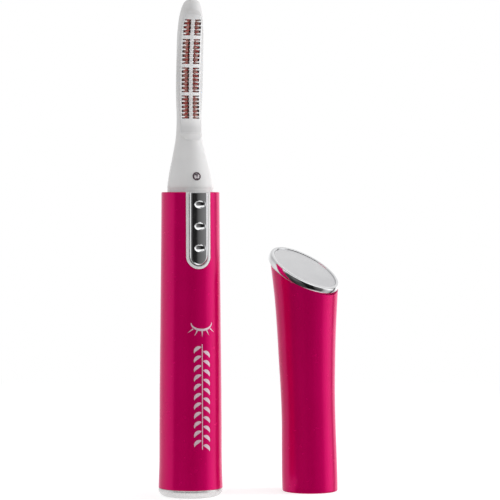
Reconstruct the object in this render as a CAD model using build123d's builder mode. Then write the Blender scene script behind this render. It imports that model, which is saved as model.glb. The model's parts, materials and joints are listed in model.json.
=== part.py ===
from build123d import *
import math
import os

# Heated eyelash curler: round battery handle with a curved comb head, and its separate cap.
# Millimetres. +Z is up, the wand stands on its end cap with its axis on Z, and the switch and
# the comb face -Y. The origin is the centre of the end cap's flat foot. The cap stands beside
# the wand at +X on the same floor.
#
# In names, _r is a radius and z0 and z1 are the lower and upper height. A name ending in _fwd
# is a distance forward of the axis, toward -Y, which is how Plane.XZ offsets and extrudes run.

# ---------------------------------------------------------------- shared dimensions
fit_gap = 0.08                   # radial gap between the sleeve and what slides into it

# sleeve
handle_z0 = 2.62
handle_z1 = 95.0
sleeve_rows = [                  # z, outer radius
    (handle_z0, 10.05), (8.75, 9.84), (21.9, 9.75), (38.75, 9.62),
    (51.9, 9.47), (61.25, 9.38), (80.0, 9.18), (handle_z1, 9.06),
]
sleeve_foot_r = sleeve_rows[0][1]
sleeve_top_r = sleeve_rows[-1][1]
sleeve_plug_r = 8.80             # bore that takes the end cap's plug
sleeve_plug_z = 12.0
sleeve_bore_low_r = sleeve_plug_r - 0.05
sleeve_bore_top_r = 8.06
notch_half_w = 3.95              # notch for the switch surround
notch_z0 = 71.15

# end cap
cup_floor_z = 1.6
ring_z = 6.5                     # rubber ring and its groove
ring_r = 8.33
ring_wire_r = 0.45

# AAA cell
cell_r = 5.25
cell_z0 = 7.0
cell_can_z1 = 50.7

# chassis
web_z0 = 51.6                    # web across the tube, above the cell
web_z1 = 53.6
collar_r = 7.20
collar_z0 = 94.9
collar_z1 = 97.0
front_top_z = 113.0              # the front half stops here, and the comb guard starts
screw_spots = ((-3.5, 56.0), (3.5, 56.0))    # x, z
screw_seat_fwd = -4.2            # floor of the head recesses, behind the axis
contact_tab_y = -0.95            # positive contact's tab and its slot
strip_w = 2.0                    # negative strip and the contact leaf that meets it
strip_thick = 0.3

# circuit board and what stands on it
board_back_fwd = 1.2
board_thick = 1.0
mount_fwd = board_back_fwd + board_thick + 0.02
knob_w = 1.3
knob_h = 2.0
knob_z = 81.2
led_z = 99.9

# switch slide
slide_half_w = 2.93
slide_z0 = 72.32
slide_z1 = 94.9
slide_front_fwd = 9.95
slide_back_fwd = 8.12

# head
head_rows = [                    # z, half width, half depth, centre y
    (collar_z1, collar_r, collar_r, 0.00),
    (100.6, 6.62, 6.78, 0.22),
    (104.4, 5.75, 6.05, 0.60),
    (108.1, 4.90, 5.25, 1.05),
    (112.0, 4.14, 4.55, 1.45),
    (117.0, 3.88, 4.00, 1.55),
    (126.0, 4.20, 3.70, 1.25),
    (138.0, 4.20, 3.60, 0.50),
    (146.0, 3.95, 3.35, -0.45),
    (151.3, 3.12, 2.45, -1.30),
    (154.0, 1.95, 1.40, -1.75),
    (154.9, 0.95, 0.70, -1.90),
]

# the comb's front is scooped to an arc about a line along X, in front of the head
scoop_r = 98.0
scoop_y = -98.5
scoop_z = 126.0
scoop_axis = Axis((0, scoop_y, scoop_z), (1, 0, 0))

# comb guard
guard_half_w = 3.3
guard_depth = 1.05
guard_z0 = front_top_z + 0.05
guard_z1 = 151.4
guard_back_r = scoop_r + guard_depth

# heater, on an arc about the same line as the scoop
heater_r = guard_back_r + 0.98
coil_x = 1.55
core_r = 0.50
lead_end_x = 1.2                 # where the leads meet the terminal
lead_end_y = 1.0


# ---------------------------------------------------------------- helpers
def sleeve_bore(z):
    """Sleeve's inner radius at height z, above the plug's bore."""
    rise = (z - sleeve_plug_z) / (handle_z1 - sleeve_plug_z)
    return sleeve_bore_low_r - (sleeve_bore_low_r - sleeve_bore_top_r) * rise


def arc_y(z, radius):
    """Y of a point at height z on an arc about the scoop's centre line."""
    return scoop_y + math.sqrt(radius ** 2 - (z - scoop_z) ** 2)


def arc_point(z, radius):
    """The same point, in the coordinates of a Plane.YZ sketch."""
    return (arc_y(z, radius), z)


def arc_turn(z, radius):
    """Angle in radians, up from the horizontal, of the arc's point at height z."""
    return math.asin((z - scoop_z) / radius)


def heater_plane(x, z):
    """Plane square to the heater's arc at height z, its origin on the arc."""
    turn = arc_turn(z, heater_r)
    return Plane(
        origin=(x, scoop_y + heater_r * math.cos(turn), z),
        x_dir=(1, 0, 0),
        z_dir=(0, -math.sin(turn), math.cos(turn)),
    )


def heater_angle(z0, z1):
    """Angle in degrees between two heights on the heater's arc."""
    return math.degrees(arc_turn(z1, heater_r) - arc_turn(z0, heater_r))


def neck_front_fwd(z):
    """How far forward the neck's front lies at height z, between the first two sections."""
    (low_z, _, low_depth, low_y), (high_z, _, high_depth, high_y) = head_rows[:2]
    low_fwd = low_depth - low_y
    high_fwd = high_depth - high_y
    return low_fwd + (high_fwd - low_fwd) * (z - low_z) / (high_z - low_z)


def draw_round_foot_bar(half_w, z0, z1):
    """Draw an upright bar, round at the bottom and square at the top, in the open sketch."""
    foot_z = z0 + half_w
    with Locations((0, foot_z)):
        Circle(half_w)
    with Locations((0, (foot_z + z1) / 2)):
        Rectangle(2 * half_w, z1 - foot_z)


# ================================================================ end cap and its contacts
def base_cap():
    foot_r = 7.85
    foot_edge_z = 2.2
    foot_arc_r = -2.2            # the sign makes the foot's edge bulge outward
    shoulder_z = handle_z0 - 0.02
    plug_r = sleeve_plug_r - fit_gap
    plug_top_z = 10.0
    plug_bevel = 0.4
    cup_r = 7.30
    groove_h = 1.0
    with BuildPart() as piece:
        with BuildSketch(Plane.XZ):
            with BuildLine():
                Polyline((0, 0), (foot_r, 0))
                RadiusArc((foot_r, 0), (sleeve_foot_r, foot_edge_z), foot_arc_r)
                Polyline(
                    (sleeve_foot_r, foot_edge_z), (sleeve_foot_r, shoulder_z),
                    (plug_r, shoulder_z), (plug_r, plug_top_z - plug_bevel),
                    (plug_r - plug_bevel, plug_top_z), (cup_r, plug_top_z),
                    (cup_r, cup_floor_z), (0, cup_floor_z), (0, 0),
                )
            make_face()
        revolve(axis=Axis.Z)
        # groove for the rubber ring
        with BuildSketch(Plane.XY.offset(ring_z - groove_h / 2)):
            Circle(plug_r + 1)
            Circle(ring_r - ring_wire_r - 0.02, mode=Mode.SUBTRACT)
        extrude(amount=groove_h, mode=Mode.SUBTRACT)
    return piece.part


def base_o_ring():
    with BuildPart() as piece:
        with BuildSketch(Plane.XZ):
            with Locations((ring_r, ring_z)):
                Circle(ring_wire_r)
        revolve(axis=Axis.Z)
    return piece.part


def negative_contact():
    """Disc on the cup's floor, with a leaf that stands up at +X."""
    plate_z = cup_floor_z + 0.05
    plate_r = 6.3
    leaf_x = 6.55
    leaf_h = 7.2
    with BuildPart() as piece:
        with BuildSketch(Plane.XY.offset(plate_z)):
            Circle(plate_r)
        extrude(amount=strip_thick)
        with BuildSketch(Plane.XY.offset(plate_z)):
            with Locations((6.1, 0)):
                Rectangle(1.2, strip_w)
        extrude(amount=strip_thick)
        with BuildSketch(Plane.XY.offset(plate_z)):
            with Locations((leaf_x, 0)):
                Rectangle(strip_thick, strip_w)
        extrude(amount=leaf_h)
    return piece.part


def negative_spring():
    pitch = 1.4
    turns = 3
    spring_r = 3.6
    wire_r = 0.35
    with BuildPart() as piece:
        with BuildLine() as wire:
            Helix(pitch=pitch, height=turns * pitch, radius=spring_r,
                  center=(0, 0, cup_floor_z + 0.75))
        with BuildSketch(Plane(origin=wire.line @ 0, z_dir=wire.line % 0)):
            Circle(wire_r)
        sweep(is_frenet=True)
    return piece.part


# ================================================================ cell
def battery_cell():
    can_bevel = 0.35
    nub_r = 1.9
    nub_h = 0.8
    nub_round = 0.25
    with BuildPart() as piece:
        with BuildSketch(Plane.XY.offset(cell_z0)):
            Circle(cell_r - 0.15)
        extrude(amount=cell_can_z1 - cell_z0)
        chamfer(piece.edges().filter_by(GeomType.CIRCLE), length=can_bevel)
        with BuildSketch(Plane.XY.offset(cell_can_z1)):
            Circle(nub_r)
        extrude(amount=nub_h)
        fillet(piece.edges().group_by(Axis.Z)[-1], radius=nub_round)
    return piece.part


def battery_label():
    end_margin = 0.9
    thick = 0.14
    with BuildPart() as piece:
        with BuildSketch(Plane.XY.offset(cell_z0 + end_margin)):
            Circle(cell_r)
            Circle(cell_r - thick, mode=Mode.SUBTRACT)
        extrude(amount=cell_can_z1 - cell_z0 - 2 * end_margin)
    return piece.part


# ================================================================ sleeve
def handle_sleeve():
    with BuildPart() as piece:
        with BuildSketch(Plane.XZ):
            with BuildLine():
                Spline(*[(r, z) for z, r in sleeve_rows])
                Polyline(
                    (sleeve_top_r, handle_z1), (sleeve_bore_top_r, handle_z1),
                    (sleeve_bore_low_r, sleeve_plug_z), (sleeve_plug_r, sleeve_plug_z - 0.6),
                    (sleeve_plug_r, handle_z0), (sleeve_foot_r, handle_z0),
                )
            make_face()
        revolve(axis=Axis.Z)
        top_circles = piece.edges().filter_by(GeomType.CIRCLE).group_by(Axis.Z)[-1]
        fillet(top_circles.sort_by(SortBy.RADIUS)[-1], radius=0.3)
        # notch for the switch surround, open at the top of the front
        with BuildSketch(Plane.XZ):
            draw_round_foot_bar(notch_half_w, notch_z0, handle_z1 + 2)
        extrude(amount=14, mode=Mode.SUBTRACT)
    return piece.part


# ================================================================ head forms
def head_blank():
    """Solid head, shared by both chassis halves and the comb guard."""
    scoop_low_z = 112.6
    scoop_top_z = 156.0
    clear_y = -14                # in front of everything
    scoop_low = arc_point(scoop_low_z, scoop_r)
    scoop_top = arc_point(scoop_top_z, scoop_r)
    with BuildPart() as piece:
        for z, half_w, half_d, y in head_rows:
            with BuildSketch(Plane.XY.offset(z)):
                with Locations((0, y)):
                    Ellipse(half_w, half_d)
        loft()
        # scooped front of the comb, blended into the neck at its lower end
        with BuildSketch(Plane.YZ):
            with BuildLine():
                ThreePointArc(scoop_low, arc_point(134.0, scoop_r), scoop_top)
                Polyline(scoop_top, (clear_y, scoop_top_z), (clear_y, 109.4),
                         (-4.4, 109.4), (-2.0, 111.4))
                ThreePointArc((-2.0, 111.4), (scoop_low[0] - 0.12, 112.0), scoop_low)
            make_face()
        extrude(amount=9, both=True, mode=Mode.SUBTRACT)
    return piece.part


def neck_room():
    """Hollow inside the neck."""
    wall = 1.15
    with BuildPart() as piece:
        for z, half_w, half_d, y in [row for row in head_rows if row[0] < front_top_z]:
            # the lowest section drops a little so that the room opens into the collar
            with BuildSketch(Plane.XY.offset(z if z > collar_z1 else collar_z1 - 0.05)):
                with Locations((0, y)):
                    Ellipse(half_w - wall, half_d - wall)
        loft()
    return piece.part


def heater_room():
    """Hollow behind the comb guard for the heater."""
    z0, z_mid, z1 = 111.6, 130.0, 150.4
    half_w = 2.6
    back_r = heater_r + 1.5
    with BuildPart() as piece:
        with BuildSketch(Plane.YZ):
            with BuildLine():
                ThreePointArc(*[arc_point(z, guard_back_r) for z in (z0, z_mid, z1)])
                Line(arc_point(z1, guard_back_r), arc_point(z1, back_r))
                ThreePointArc(*[arc_point(z, back_r) for z in (z1, z_mid, z0)])
                Line(arc_point(z0, back_r), arc_point(z0, guard_back_r))
            make_face()
        extrude(amount=half_w, both=True)
    return piece.part


def guard_space(gap):
    """Block the comb guard is cut from, or with a gap, the pocket it sits in."""
    clear_y = -14
    z0 = guard_z0 - gap
    z1 = guard_z1 + gap
    back_r = guard_back_r + gap
    with BuildPart() as piece:
        with BuildSketch(Plane.YZ):
            with BuildLine():
                ThreePointArc(*[arc_point(z, back_r) for z in (z0, 130.0, z1)])
                Polyline(arc_point(z1, back_r), (clear_y, z1), (clear_y, z0),
                         arc_point(z0, back_r))
            make_face()
        extrude(amount=guard_half_w + gap, both=True)
    return piece.part


# ================================================================ chassis
def chassis_body(head):
    """Cell tube, electronics room, collar, neck and hollow head in one, without the cuts."""
    neck_hollow = neck_room()
    heater_hollow = heater_room()
    guard_pocket = guard_space(gap=0.03)
    tube_in_r = 5.45
    tube_out_r = 6.5
    tube_z0 = 10.3
    foot_band_top = 12.4
    mid_band_z0, mid_band_z1 = 30.0, 31.4
    upper_z0 = 49.6              # from here up the chassis fills the sleeve's bore
    room_r = 6.5                 # electronics room
    room_z1 = 94.0
    collar_in_r = 6.0
    boss_r = 1.9
    boss_half_length = 5.9
    with BuildPart() as piece:
        with BuildSketch(Plane.XZ):
            with BuildLine():
                Polyline(
                    (tube_in_r, tube_z0),
                    (sleeve_plug_r - fit_gap, tube_z0),
                    (sleeve_plug_r - fit_gap, 11.2),
                    (sleeve_bore(foot_band_top) - fit_gap, foot_band_top),
                    (tube_out_r, foot_band_top),
                    (tube_out_r, mid_band_z0),
                    (sleeve_bore(mid_band_z0) - fit_gap, mid_band_z0),
                    (sleeve_bore(mid_band_z1) - fit_gap, mid_band_z1),
                    (tube_out_r, mid_band_z1),
                    (tube_out_r, upper_z0),
                    (sleeve_bore(upper_z0) - fit_gap, upper_z0),
                    (sleeve_bore(collar_z0) - fit_gap, collar_z0),
                    (collar_r, collar_z0), (collar_r, collar_z1),
                    (collar_in_r, collar_z1), (collar_in_r, room_z1),
                    (room_r, room_z1 - 0.5), (room_r, web_z1),
                    (0, web_z1), (0, web_z0), (tube_in_r, web_z0), (tube_in_r, tube_z0),
                )
            make_face()
        revolve(axis=Axis.Z)
        add(head)
        add(neck_hollow, mode=Mode.SUBTRACT)
        add(heater_hollow, mode=Mode.SUBTRACT)
        add(guard_pocket, mode=Mode.SUBTRACT)
        # screw bosses across the room
        with BuildSketch(Plane.XZ.offset(-boss_half_length)):
            with Locations(*screw_spots):
                Circle(boss_r)
        extrude(amount=2 * boss_half_length)
    return piece.part


def chassis_blank(head):
    """The whole chassis with its openings, before it is split into halves."""
    body = chassis_body(head)
    seat_gap = 0.1
    with BuildPart() as piece:
        add(body)
        # seat for the switch surround, and the opening its carrier runs in
        with BuildSketch(Plane.XZ.offset(7.2)):
            draw_round_foot_bar(notch_half_w + seat_gap, notch_z0 - seat_gap, collar_z0 + 0.2)
        extrude(amount=4, mode=Mode.SUBTRACT)
        with BuildSketch(Plane.XZ.offset(4.6)):
            with Locations((0, 84.3)):
                RectangleRounded(5.2, 15.4, 0.6)
        extrude(amount=4, mode=Mode.SUBTRACT)
        # indicator hole
        with BuildSketch(Plane.XZ.offset(3.6)):
            with Locations((0, led_z)):
                Circle(1.33)
        extrude(amount=6, mode=Mode.SUBTRACT)
        # positive contact's pocket in the web, and the slot its tab comes up through
        with BuildSketch(Plane.XY.offset(web_z0 - 0.1)):
            Circle(4.4)
        extrude(amount=0.6, mode=Mode.SUBTRACT)
        with BuildSketch(Plane.XY.offset(web_z0)):
            with Locations((0, contact_tab_y)):
                Rectangle(3.2, 0.6)
        extrude(amount=3, mode=Mode.SUBTRACT)
        # channel for the negative strip, and the opening for its bent end
        with BuildSketch(Plane.XY.offset(10.0)):
            with Locations((6.975, 0)):
                Rectangle(0.55, 2.3)
        extrude(amount=51.0, mode=Mode.SUBTRACT)
        with BuildSketch(Plane.XY.offset(59.6)):
            with Locations((6.3, 0)):
                Rectangle(1.9, 2.7)
        extrude(amount=1.4, mode=Mode.SUBTRACT)
        # screw holes: clearance and head recess behind, pilot in front
        for start_fwd, depth, hole_r in ((0, -9, 0.95), (screw_seat_fwd, -6, 1.6), (0, 4.2, 0.87)):
            with BuildSketch(Plane.XZ.offset(start_fwd)):
                with Locations(*screw_spots):
                    Circle(hole_r)
            extrude(amount=depth, mode=Mode.SUBTRACT)
    return piece.part


def chassis_front(chassis):
    with BuildPart() as piece:
        add(chassis)
        split(bisect_by=Plane.XZ.offset(0.01), keep=Keep.TOP)
        split(bisect_by=Plane.XY.offset(front_top_z - 0.02), keep=Keep.BOTTOM)
    return piece.part


def chassis_rear(chassis):
    """Rear half of the handle and neck, with the whole of the head above."""
    cut_z0 = 8.0
    cut_depth = 16.0
    with BuildPart() as piece:
        add(chassis)
        with BuildSketch(Plane.XY.offset(cut_z0)):
            with Locations((0, -cut_depth / 2)):
                Rectangle(30, cut_depth)
        extrude(amount=front_top_z - cut_z0, mode=Mode.SUBTRACT)
    return piece.part


def chassis_screws():
    head_r = 1.5
    head_h = 1.0
    shank_r = 0.85
    shank_tip_fwd = 3.6
    shank_length = 7.9
    cross_length = 1.6
    cross_w = 0.35
    with BuildPart() as piece:
        with BuildSketch(Plane.XZ.offset(screw_seat_fwd - 0.02)):
            with Locations(*screw_spots):
                Circle(head_r)
        extrude(amount=-head_h)
        with BuildSketch(Plane.XZ.offset(shank_tip_fwd)):
            with Locations(*screw_spots):
                Circle(shank_r)
        extrude(amount=-shank_length)
        # cross recess
        with BuildSketch(Plane.XZ.offset(-5.3)):
            with Locations(*screw_spots):
                Rectangle(cross_length, cross_w)
                Rectangle(cross_w, cross_length)
        extrude(amount=0.6, mode=Mode.SUBTRACT)
    return piece.part


# ================================================================ comb guard
def guard_tooth():
    """One tapered tooth pointing at -Y, its root sunk behind the origin."""
    root = 0.5
    height = 1.45
    with BuildPart() as piece:
        with BuildSketch(Plane.XZ.offset(-root)):
            Circle(0.36)
        extrude(amount=height + root, taper=7)
    return piece.part


def comb_guard(head):
    band = guard_space(gap=0)
    tooth = guard_tooth()
    rib_half_w = 0.55
    window_out_x = 2.80
    window_x = (rib_half_w + window_out_x) / 2
    window_rows = ((117.9, 125.1), (126.1, 133.8), (134.9, 142.6), (143.7, 148.6))  # z0, z1
    tooth_x = 2.92
    tooth_pitch = 1.4
    # y and z of each tooth in an edge row, on the scooped face
    tooth_roots = [arc_point(118.2 + i * tooth_pitch, scoop_r) for i in range(21)]
    with BuildPart() as piece:
        add(head)
        add(band, mode=Mode.INTERSECT)
        # four windows on each side of the centre rib
        with BuildSketch(Plane.XZ.offset(-6)):
            for z0, z1 in window_rows:
                with Locations((-window_x, (z0 + z1) / 2), (window_x, (z0 + z1) / 2)):
                    Rectangle(window_out_x - rib_half_w, z1 - z0)
        extrude(amount=14, mode=Mode.SUBTRACT)
        # rows of teeth along both edges, and along the rib half a pitch higher
        with Locations(*[(tooth_x, y, z) for y, z in tooth_roots],
                       *[(-tooth_x, y, z) for y, z in tooth_roots],
                       *[(0, y, z + tooth_pitch / 2) for y, z in tooth_roots]):
            add(tooth)
    return piece.part


# ================================================================ heater
def heater_core(x):
    z0, z1 = 115.75, 149.8
    with BuildPart() as piece:
        with BuildSketch(heater_plane(x, z0)):
            Circle(core_r)
        revolve(axis=scoop_axis, revolution_arc=heater_angle(z0, z1))
    return piece.part


def heating_coil(x):
    """The open winding, as a thin sleeve of the winding's size."""
    z0, z1 = 116.5, 147.9
    coil_r = 0.72
    wire_r = 0.16
    with BuildPart() as piece:
        with BuildSketch(heater_plane(x, z0)):
            Circle(coil_r + wire_r)
            Circle(coil_r - wire_r, mode=Mode.SUBTRACT)
        revolve(axis=scoop_axis, revolution_arc=heater_angle(z0, z1))
    return piece.part


def heater_terminal():
    """Block below the coils, with two short tubes under it."""
    with BuildPart() as piece:
        with BuildSketch(Plane.XY.offset(112.7)):
            with Locations((0, lead_end_y)):
                Rectangle(4.3, 2.0)
        extrude(amount=2.8)
        with BuildSketch(Plane.XY.offset(112.0)):
            with Locations((-lead_end_x, lead_end_y), (lead_end_x, lead_end_y)):
                Circle(0.62)
                Circle(0.40, mode=Mode.SUBTRACT)
        extrude(amount=0.75)
    return piece.part


def heater_end_support():
    """Bar across the upper ends of the cores."""
    y = arc_y(149.1, heater_r)
    with BuildPart() as piece:
        with BuildSketch(Plane.XY.offset(148.3)):
            with Locations((0, y)):
                Rectangle(4.6, 1.7)
            with Locations((-coil_x, y), (coil_x, y)):
                Circle(core_r + 0.2, mode=Mode.SUBTRACT)
        extrude(amount=1.5)
    return piece.part


def heater_leads():
    lead_r = 0.48
    lead_path = (                # distance from the centre plane, y, z
        (1.5, -0.6, 97.0), (1.5, -0.4, 101.5), (1.3, 0.4, 107.0),
        (lead_end_x, lead_end_y, 111.9),
    )
    with BuildPart() as piece:
        for side in (-1, 1):
            with BuildLine() as lead:
                Spline(*[(side * x, y, z) for x, y, z in lead_path])
            with BuildSketch(Plane(origin=lead.line @ 0, z_dir=lead.line % 0)):
                Circle(lead_r)
            sweep(path=lead.line)
    return piece.part


# ================================================================ electronics
def circuit_board():
    wide_x = 5.2
    narrow_x = 4.2
    z0, z1 = 58.5, 102.2
    wide_z1 = 92.0
    narrow_z0 = 93.2
    with BuildPart() as piece:
        with BuildSketch(Plane.XZ.offset(board_back_fwd)):
            with BuildLine():
                Polyline(
                    (-wide_x, z0), (wide_x, z0), (wide_x, wide_z1), (narrow_x, narrow_z0),
                    (narrow_x, z1), (-narrow_x, z1), (-narrow_x, narrow_z0),
                    (-wide_x, wide_z1), (-wide_x, z0),
                )
            make_face()
            with Locations((-3.6, 95.5), (3.6, 95.5), (0, 61.2)):
                Circle(0.5, mode=Mode.SUBTRACT)
        extrude(amount=board_thick)
    return piece.part


def switch_body():
    """Switch on the board, with a slot in its front for the knob."""
    with BuildPart() as piece:
        with BuildSketch(Plane.XZ.offset(mount_fwd)):
            with Locations((0, 83.0)):
                RectangleRounded(3.8, 12.0, 0.3)
        extrude(amount=2.5)
        with BuildSketch(Plane.XZ.offset(3.4)):
            with Locations((0, 82.95)):
                Rectangle(1.5, 7.1)
        extrude(amount=3, mode=Mode.SUBTRACT)
    return piece.part


def resistor():
    """Barrel along X, with straight wire ends and a leg from each down to the board."""
    y, z = -3.05, 69.0
    barrel_half_length = 1.6
    leg_x = 2.6
    wire_r = 0.25
    with BuildPart() as piece:
        with BuildSketch(Plane.YZ.offset(-barrel_half_length)):
            with Locations((y, z)):
                Circle(0.78)
        extrude(amount=2 * barrel_half_length)
        fillet(piece.edges().filter_by(GeomType.CIRCLE), radius=0.25)
        with BuildSketch(Plane.YZ.offset(-leg_x)):
            with Locations((y, z)):
                Circle(wire_r)
        extrude(amount=2 * leg_x)
        with BuildSketch(Plane.XZ.offset(mount_fwd)):
            with Locations((-leg_x, z), (leg_x, z)):
                Circle(wire_r)
        extrude(amount=1.08)
    return piece.part


def indicator_led():
    with BuildPart() as piece:
        with BuildSketch(Plane.XZ.offset(mount_fwd)):
            with Locations((0, led_z)):
                Circle(1.1)
        extrude(amount=0.6)
        with BuildSketch(Plane.XZ.offset(2.8)):
            with Locations((0, led_z)):
                Circle(0.9)
        extrude(amount=2.2)
        fillet(piece.faces().sort_by(Axis.Y)[0].edges(), radius=0.6)
    return piece.part


def led_lens():
    back_fwd = 5.15
    proud = 0.12
    with BuildPart() as piece:
        with BuildSketch(Plane.XZ.offset(back_fwd)):
            with Locations((0, led_z)):
                Circle(0.98)
        extrude(amount=neck_front_fwd(led_z) - back_fwd + proud)
        fillet(piece.faces().sort_by(Axis.Y)[0].edges(), radius=0.35)
    return piece.part


def led_ring():
    back_fwd = 5.7
    proud = 0.10
    with BuildPart() as piece:
        with BuildSketch(Plane.XZ.offset(back_fwd)):
            with Locations((0, led_z)):
                Circle(1.30)
                Circle(1.00, mode=Mode.SUBTRACT)
        extrude(amount=neck_front_fwd(led_z) - back_fwd + proud)
    return piece.part


def positive_contact():
    """Disc under the web, with a tab that stands up through it."""
    plate_z = web_z0 + 0.02
    thick = 0.4
    with BuildPart() as piece:
        with BuildSketch(Plane.XY.offset(plate_z)):
            Circle(4.2)
        extrude(amount=thick)
        with BuildSketch(Plane.XY.offset(plate_z)):
            with Locations((0, contact_tab_y)):
                Rectangle(3.0, thick)
        extrude(amount=8.6)
    return piece.part


def negative_strip():
    """Strip up the chassis at +X, its upper end bent in toward the axis."""
    z0 = 7.4
    length = 53.0
    with BuildPart() as piece:
        with BuildSketch(Plane.XY.offset(z0)):
            with Locations((6.95, 0)):
                Rectangle(strip_thick, strip_w)
        extrude(amount=length)
        with BuildSketch(Plane.XY.offset(z0 + length - strip_thick)):
            with Locations((5.35, 0)):
                Rectangle(3.5, strip_w)
        extrude(amount=strip_thick)
    return piece.part


# ================================================================ switch surround and slide
def bezel_form():
    """Solid of the sleeve's outer shape, grown by what the bezel stands proud."""
    proud = 0.14
    with BuildPart() as piece:
        with BuildSketch(Plane.XZ):
            with BuildLine():
                Spline(*[(r + proud, z) for z, r in sleeve_rows])
                Polyline((sleeve_top_r + proud, handle_z1), (0, handle_z1),
                         (0, handle_z0), (sleeve_foot_r + proud, handle_z0))
            make_face()
        revolve(axis=Axis.Z)
    return piece.part


def switch_bezel():
    form = bezel_form()
    notch_gap = 0.05
    slide_gap = 0.10
    back_fwd = 7.25
    floor_fwd = 8.05
    with BuildPart() as piece:
        with BuildSketch(Plane.XZ.offset(back_fwd)):
            draw_round_foot_bar(notch_half_w - notch_gap, notch_z0 + notch_gap, handle_z1)
        extrude(amount=5)
        # channel for the slide, open at the top
        with BuildSketch(Plane.XZ.offset(floor_fwd)):
            draw_round_foot_bar(slide_half_w + slide_gap, slide_z0 - 0.12, handle_z1 + 1)
        extrude(amount=5, mode=Mode.SUBTRACT)
        # slot through the floor for the carrier's post
        with BuildSketch(Plane.XZ.offset(6)):
            with Locations((0, 84.3)):
                Rectangle(2.2, 9.4)
        extrude(amount=3, mode=Mode.SUBTRACT)
        add(form, mode=Mode.INTERSECT)
    return piece.part


def dimple_form():
    """Half an ellipse turned about X, the shape cut from the slide for each dimple."""
    with BuildPart() as piece:
        with BuildSketch(Plane.XY):
            Ellipse(2.6, 1.8)
            with Locations((0, -1.0)):
                Rectangle(6, 2.0, mode=Mode.SUBTRACT)
        revolve(axis=Axis.X)
    return piece.part


def switch_slider():
    dimple = dimple_form()
    dimple_pitch = 6.75
    dimple_y = -slide_front_fwd - 1.39
    bevel = 0.75
    with BuildPart() as piece:
        with BuildSketch(Plane.XZ.offset(slide_back_fwd)):
            draw_round_foot_bar(slide_half_w, slide_z0, slide_z1)
        extrude(amount=slide_front_fwd - slide_back_fwd)
        fillet(piece.edges().filter_by(Axis.Y).group_by(Axis.Z)[-1], radius=bevel + 0.15)
        chamfer(piece.faces().sort_by(Axis.Y)[0].edges(), length=bevel)
        with Locations(*[(0, dimple_y, 84.45 + step * dimple_pitch) for step in (-1, 0, 1)]):
            add(dimple, mode=Mode.SUBTRACT)
    return piece.part


def slider_carrier():
    """Post behind the slide, a plate, and a block with a socket for the knob."""
    post_fwd = 7.13
    socket_gap = 0.1
    with BuildPart() as piece:
        with BuildSketch(Plane.XZ.offset(post_fwd)):
            with Locations((0, 82.3)):
                Rectangle(2.0, 5.0)
        extrude(amount=slide_back_fwd - 0.01 - post_fwd)
        with BuildSketch(Plane.XZ.offset(6.2)):
            with Locations((0, 83.0)):
                RectangleRounded(4.4, 8.0, 0.5)
        extrude(amount=0.95)
        with BuildSketch(Plane.XZ.offset(5.0)):
            with Locations((0, knob_z)):
                Rectangle(3.2, 4.0)
        extrude(amount=1.3)
        with BuildSketch(Plane.XZ.offset(4.9)):
            with Locations((0, knob_z)):
                Rectangle(knob_w + socket_gap, knob_h + socket_gap)
        extrude(amount=1.6, mode=Mode.SUBTRACT)
    return piece.part


def switch_knob():
    with BuildPart() as piece:
        with BuildSketch(Plane.XZ.offset(3.5)):
            with Locations((0, knob_z)):
                Rectangle(knob_w, knob_h)
        extrude(amount=2.9)
        chamfer(piece.faces().sort_by(Axis.Y)[0].edges(), length=0.2)
    return piece.part


# ================================================================ cap
cap_x = 39.7
cap_fall = (0.495, -0.869)       # x, y of the direction the slanted top falls in
cap_slant = math.radians(31.0)
cap_top_z = 71.0                 # centre of the slanted top
cap_top_lean = 2.1
cap_wall = 1.2
cap_mouth_r = 7.90
cap_rows = [                     # z, radius, lean of the centre against the fall
    (0.5, 8.80, 0.02), (1.6, 8.82, 0.05), (13.0, 8.74, 0.35), (22.5, 8.58, 0.60),
    (32.1, 8.66, 0.95), (41.6, 9.00, 1.28), (51.2, 9.40, 1.50), (60.7, 9.98, 1.68),
    (67.0, 10.48, 1.92), (73.0, 11.02, 2.22), (81.0, 11.80, 2.70),
]
trim_thick = 1.9
trim_a = 12.75                   # half length along the slope
trim_b = 10.95                   # half width across it
trim_floor = -trim_thick + 0.02  # just above the shell's cut top


def cap_centre(lean):
    return (cap_x - cap_fall[0] * lean, -cap_fall[1] * lean)


cap_top_normal = Vector(
    cap_fall[0] * math.sin(cap_slant), cap_fall[1] * math.sin(cap_slant), math.cos(cap_slant))
cap_top = Plane(
    origin=(*cap_centre(cap_top_lean), cap_top_z),
    x_dir=Vector(cap_fall[0] * math.cos(cap_slant), cap_fall[1] * math.cos(cap_slant),
                 -math.sin(cap_slant)),
    z_dir=cap_top_normal,
)
cap_top_axis = Axis(cap_top.origin, cap_top_normal)


def cap_cavity():
    roof_thick = 1.7
    rows = [(8.2, cap_mouth_r - 0.35, cap_rows[1][2])]
    rows += [(z, r - cap_wall, lean) for z, r, lean in cap_rows[2:]]
    with BuildPart() as piece:
        for z, r, lean in rows:
            with BuildSketch(Plane.XY.offset(z)):
                with Locations(cap_centre(lean)):
                    Circle(r)
        loft()
        split(bisect_by=cap_top.offset(-trim_thick - roof_thick), keep=Keep.BOTTOM)
        # straight mouth that takes the liner
        with BuildSketch(Plane.XY.offset(-1)):
            with Locations((cap_x, 0)):
                Circle(cap_mouth_r)
        extrude(amount=9.3)
    return piece.part


def cap_shell():
    cavity = cap_cavity()
    foot_z, foot_r, foot_lean = cap_rows[0]
    with BuildPart() as piece:
        for z, r, lean in cap_rows:
            with BuildSketch(Plane.XY.offset(z)):
                with Locations(cap_centre(lean)):
                    Circle(r)
        loft()
        # bevelled foot
        with BuildSketch(Plane.XY.offset(foot_z)):
            with Locations(cap_centre(foot_lean)):
                Circle(foot_r)
        extrude(amount=-foot_z, taper=20)
        split(bisect_by=cap_top.offset(-trim_thick), keep=Keep.BOTTOM)
        add(cavity, mode=Mode.SUBTRACT)
    return piece.part


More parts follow.
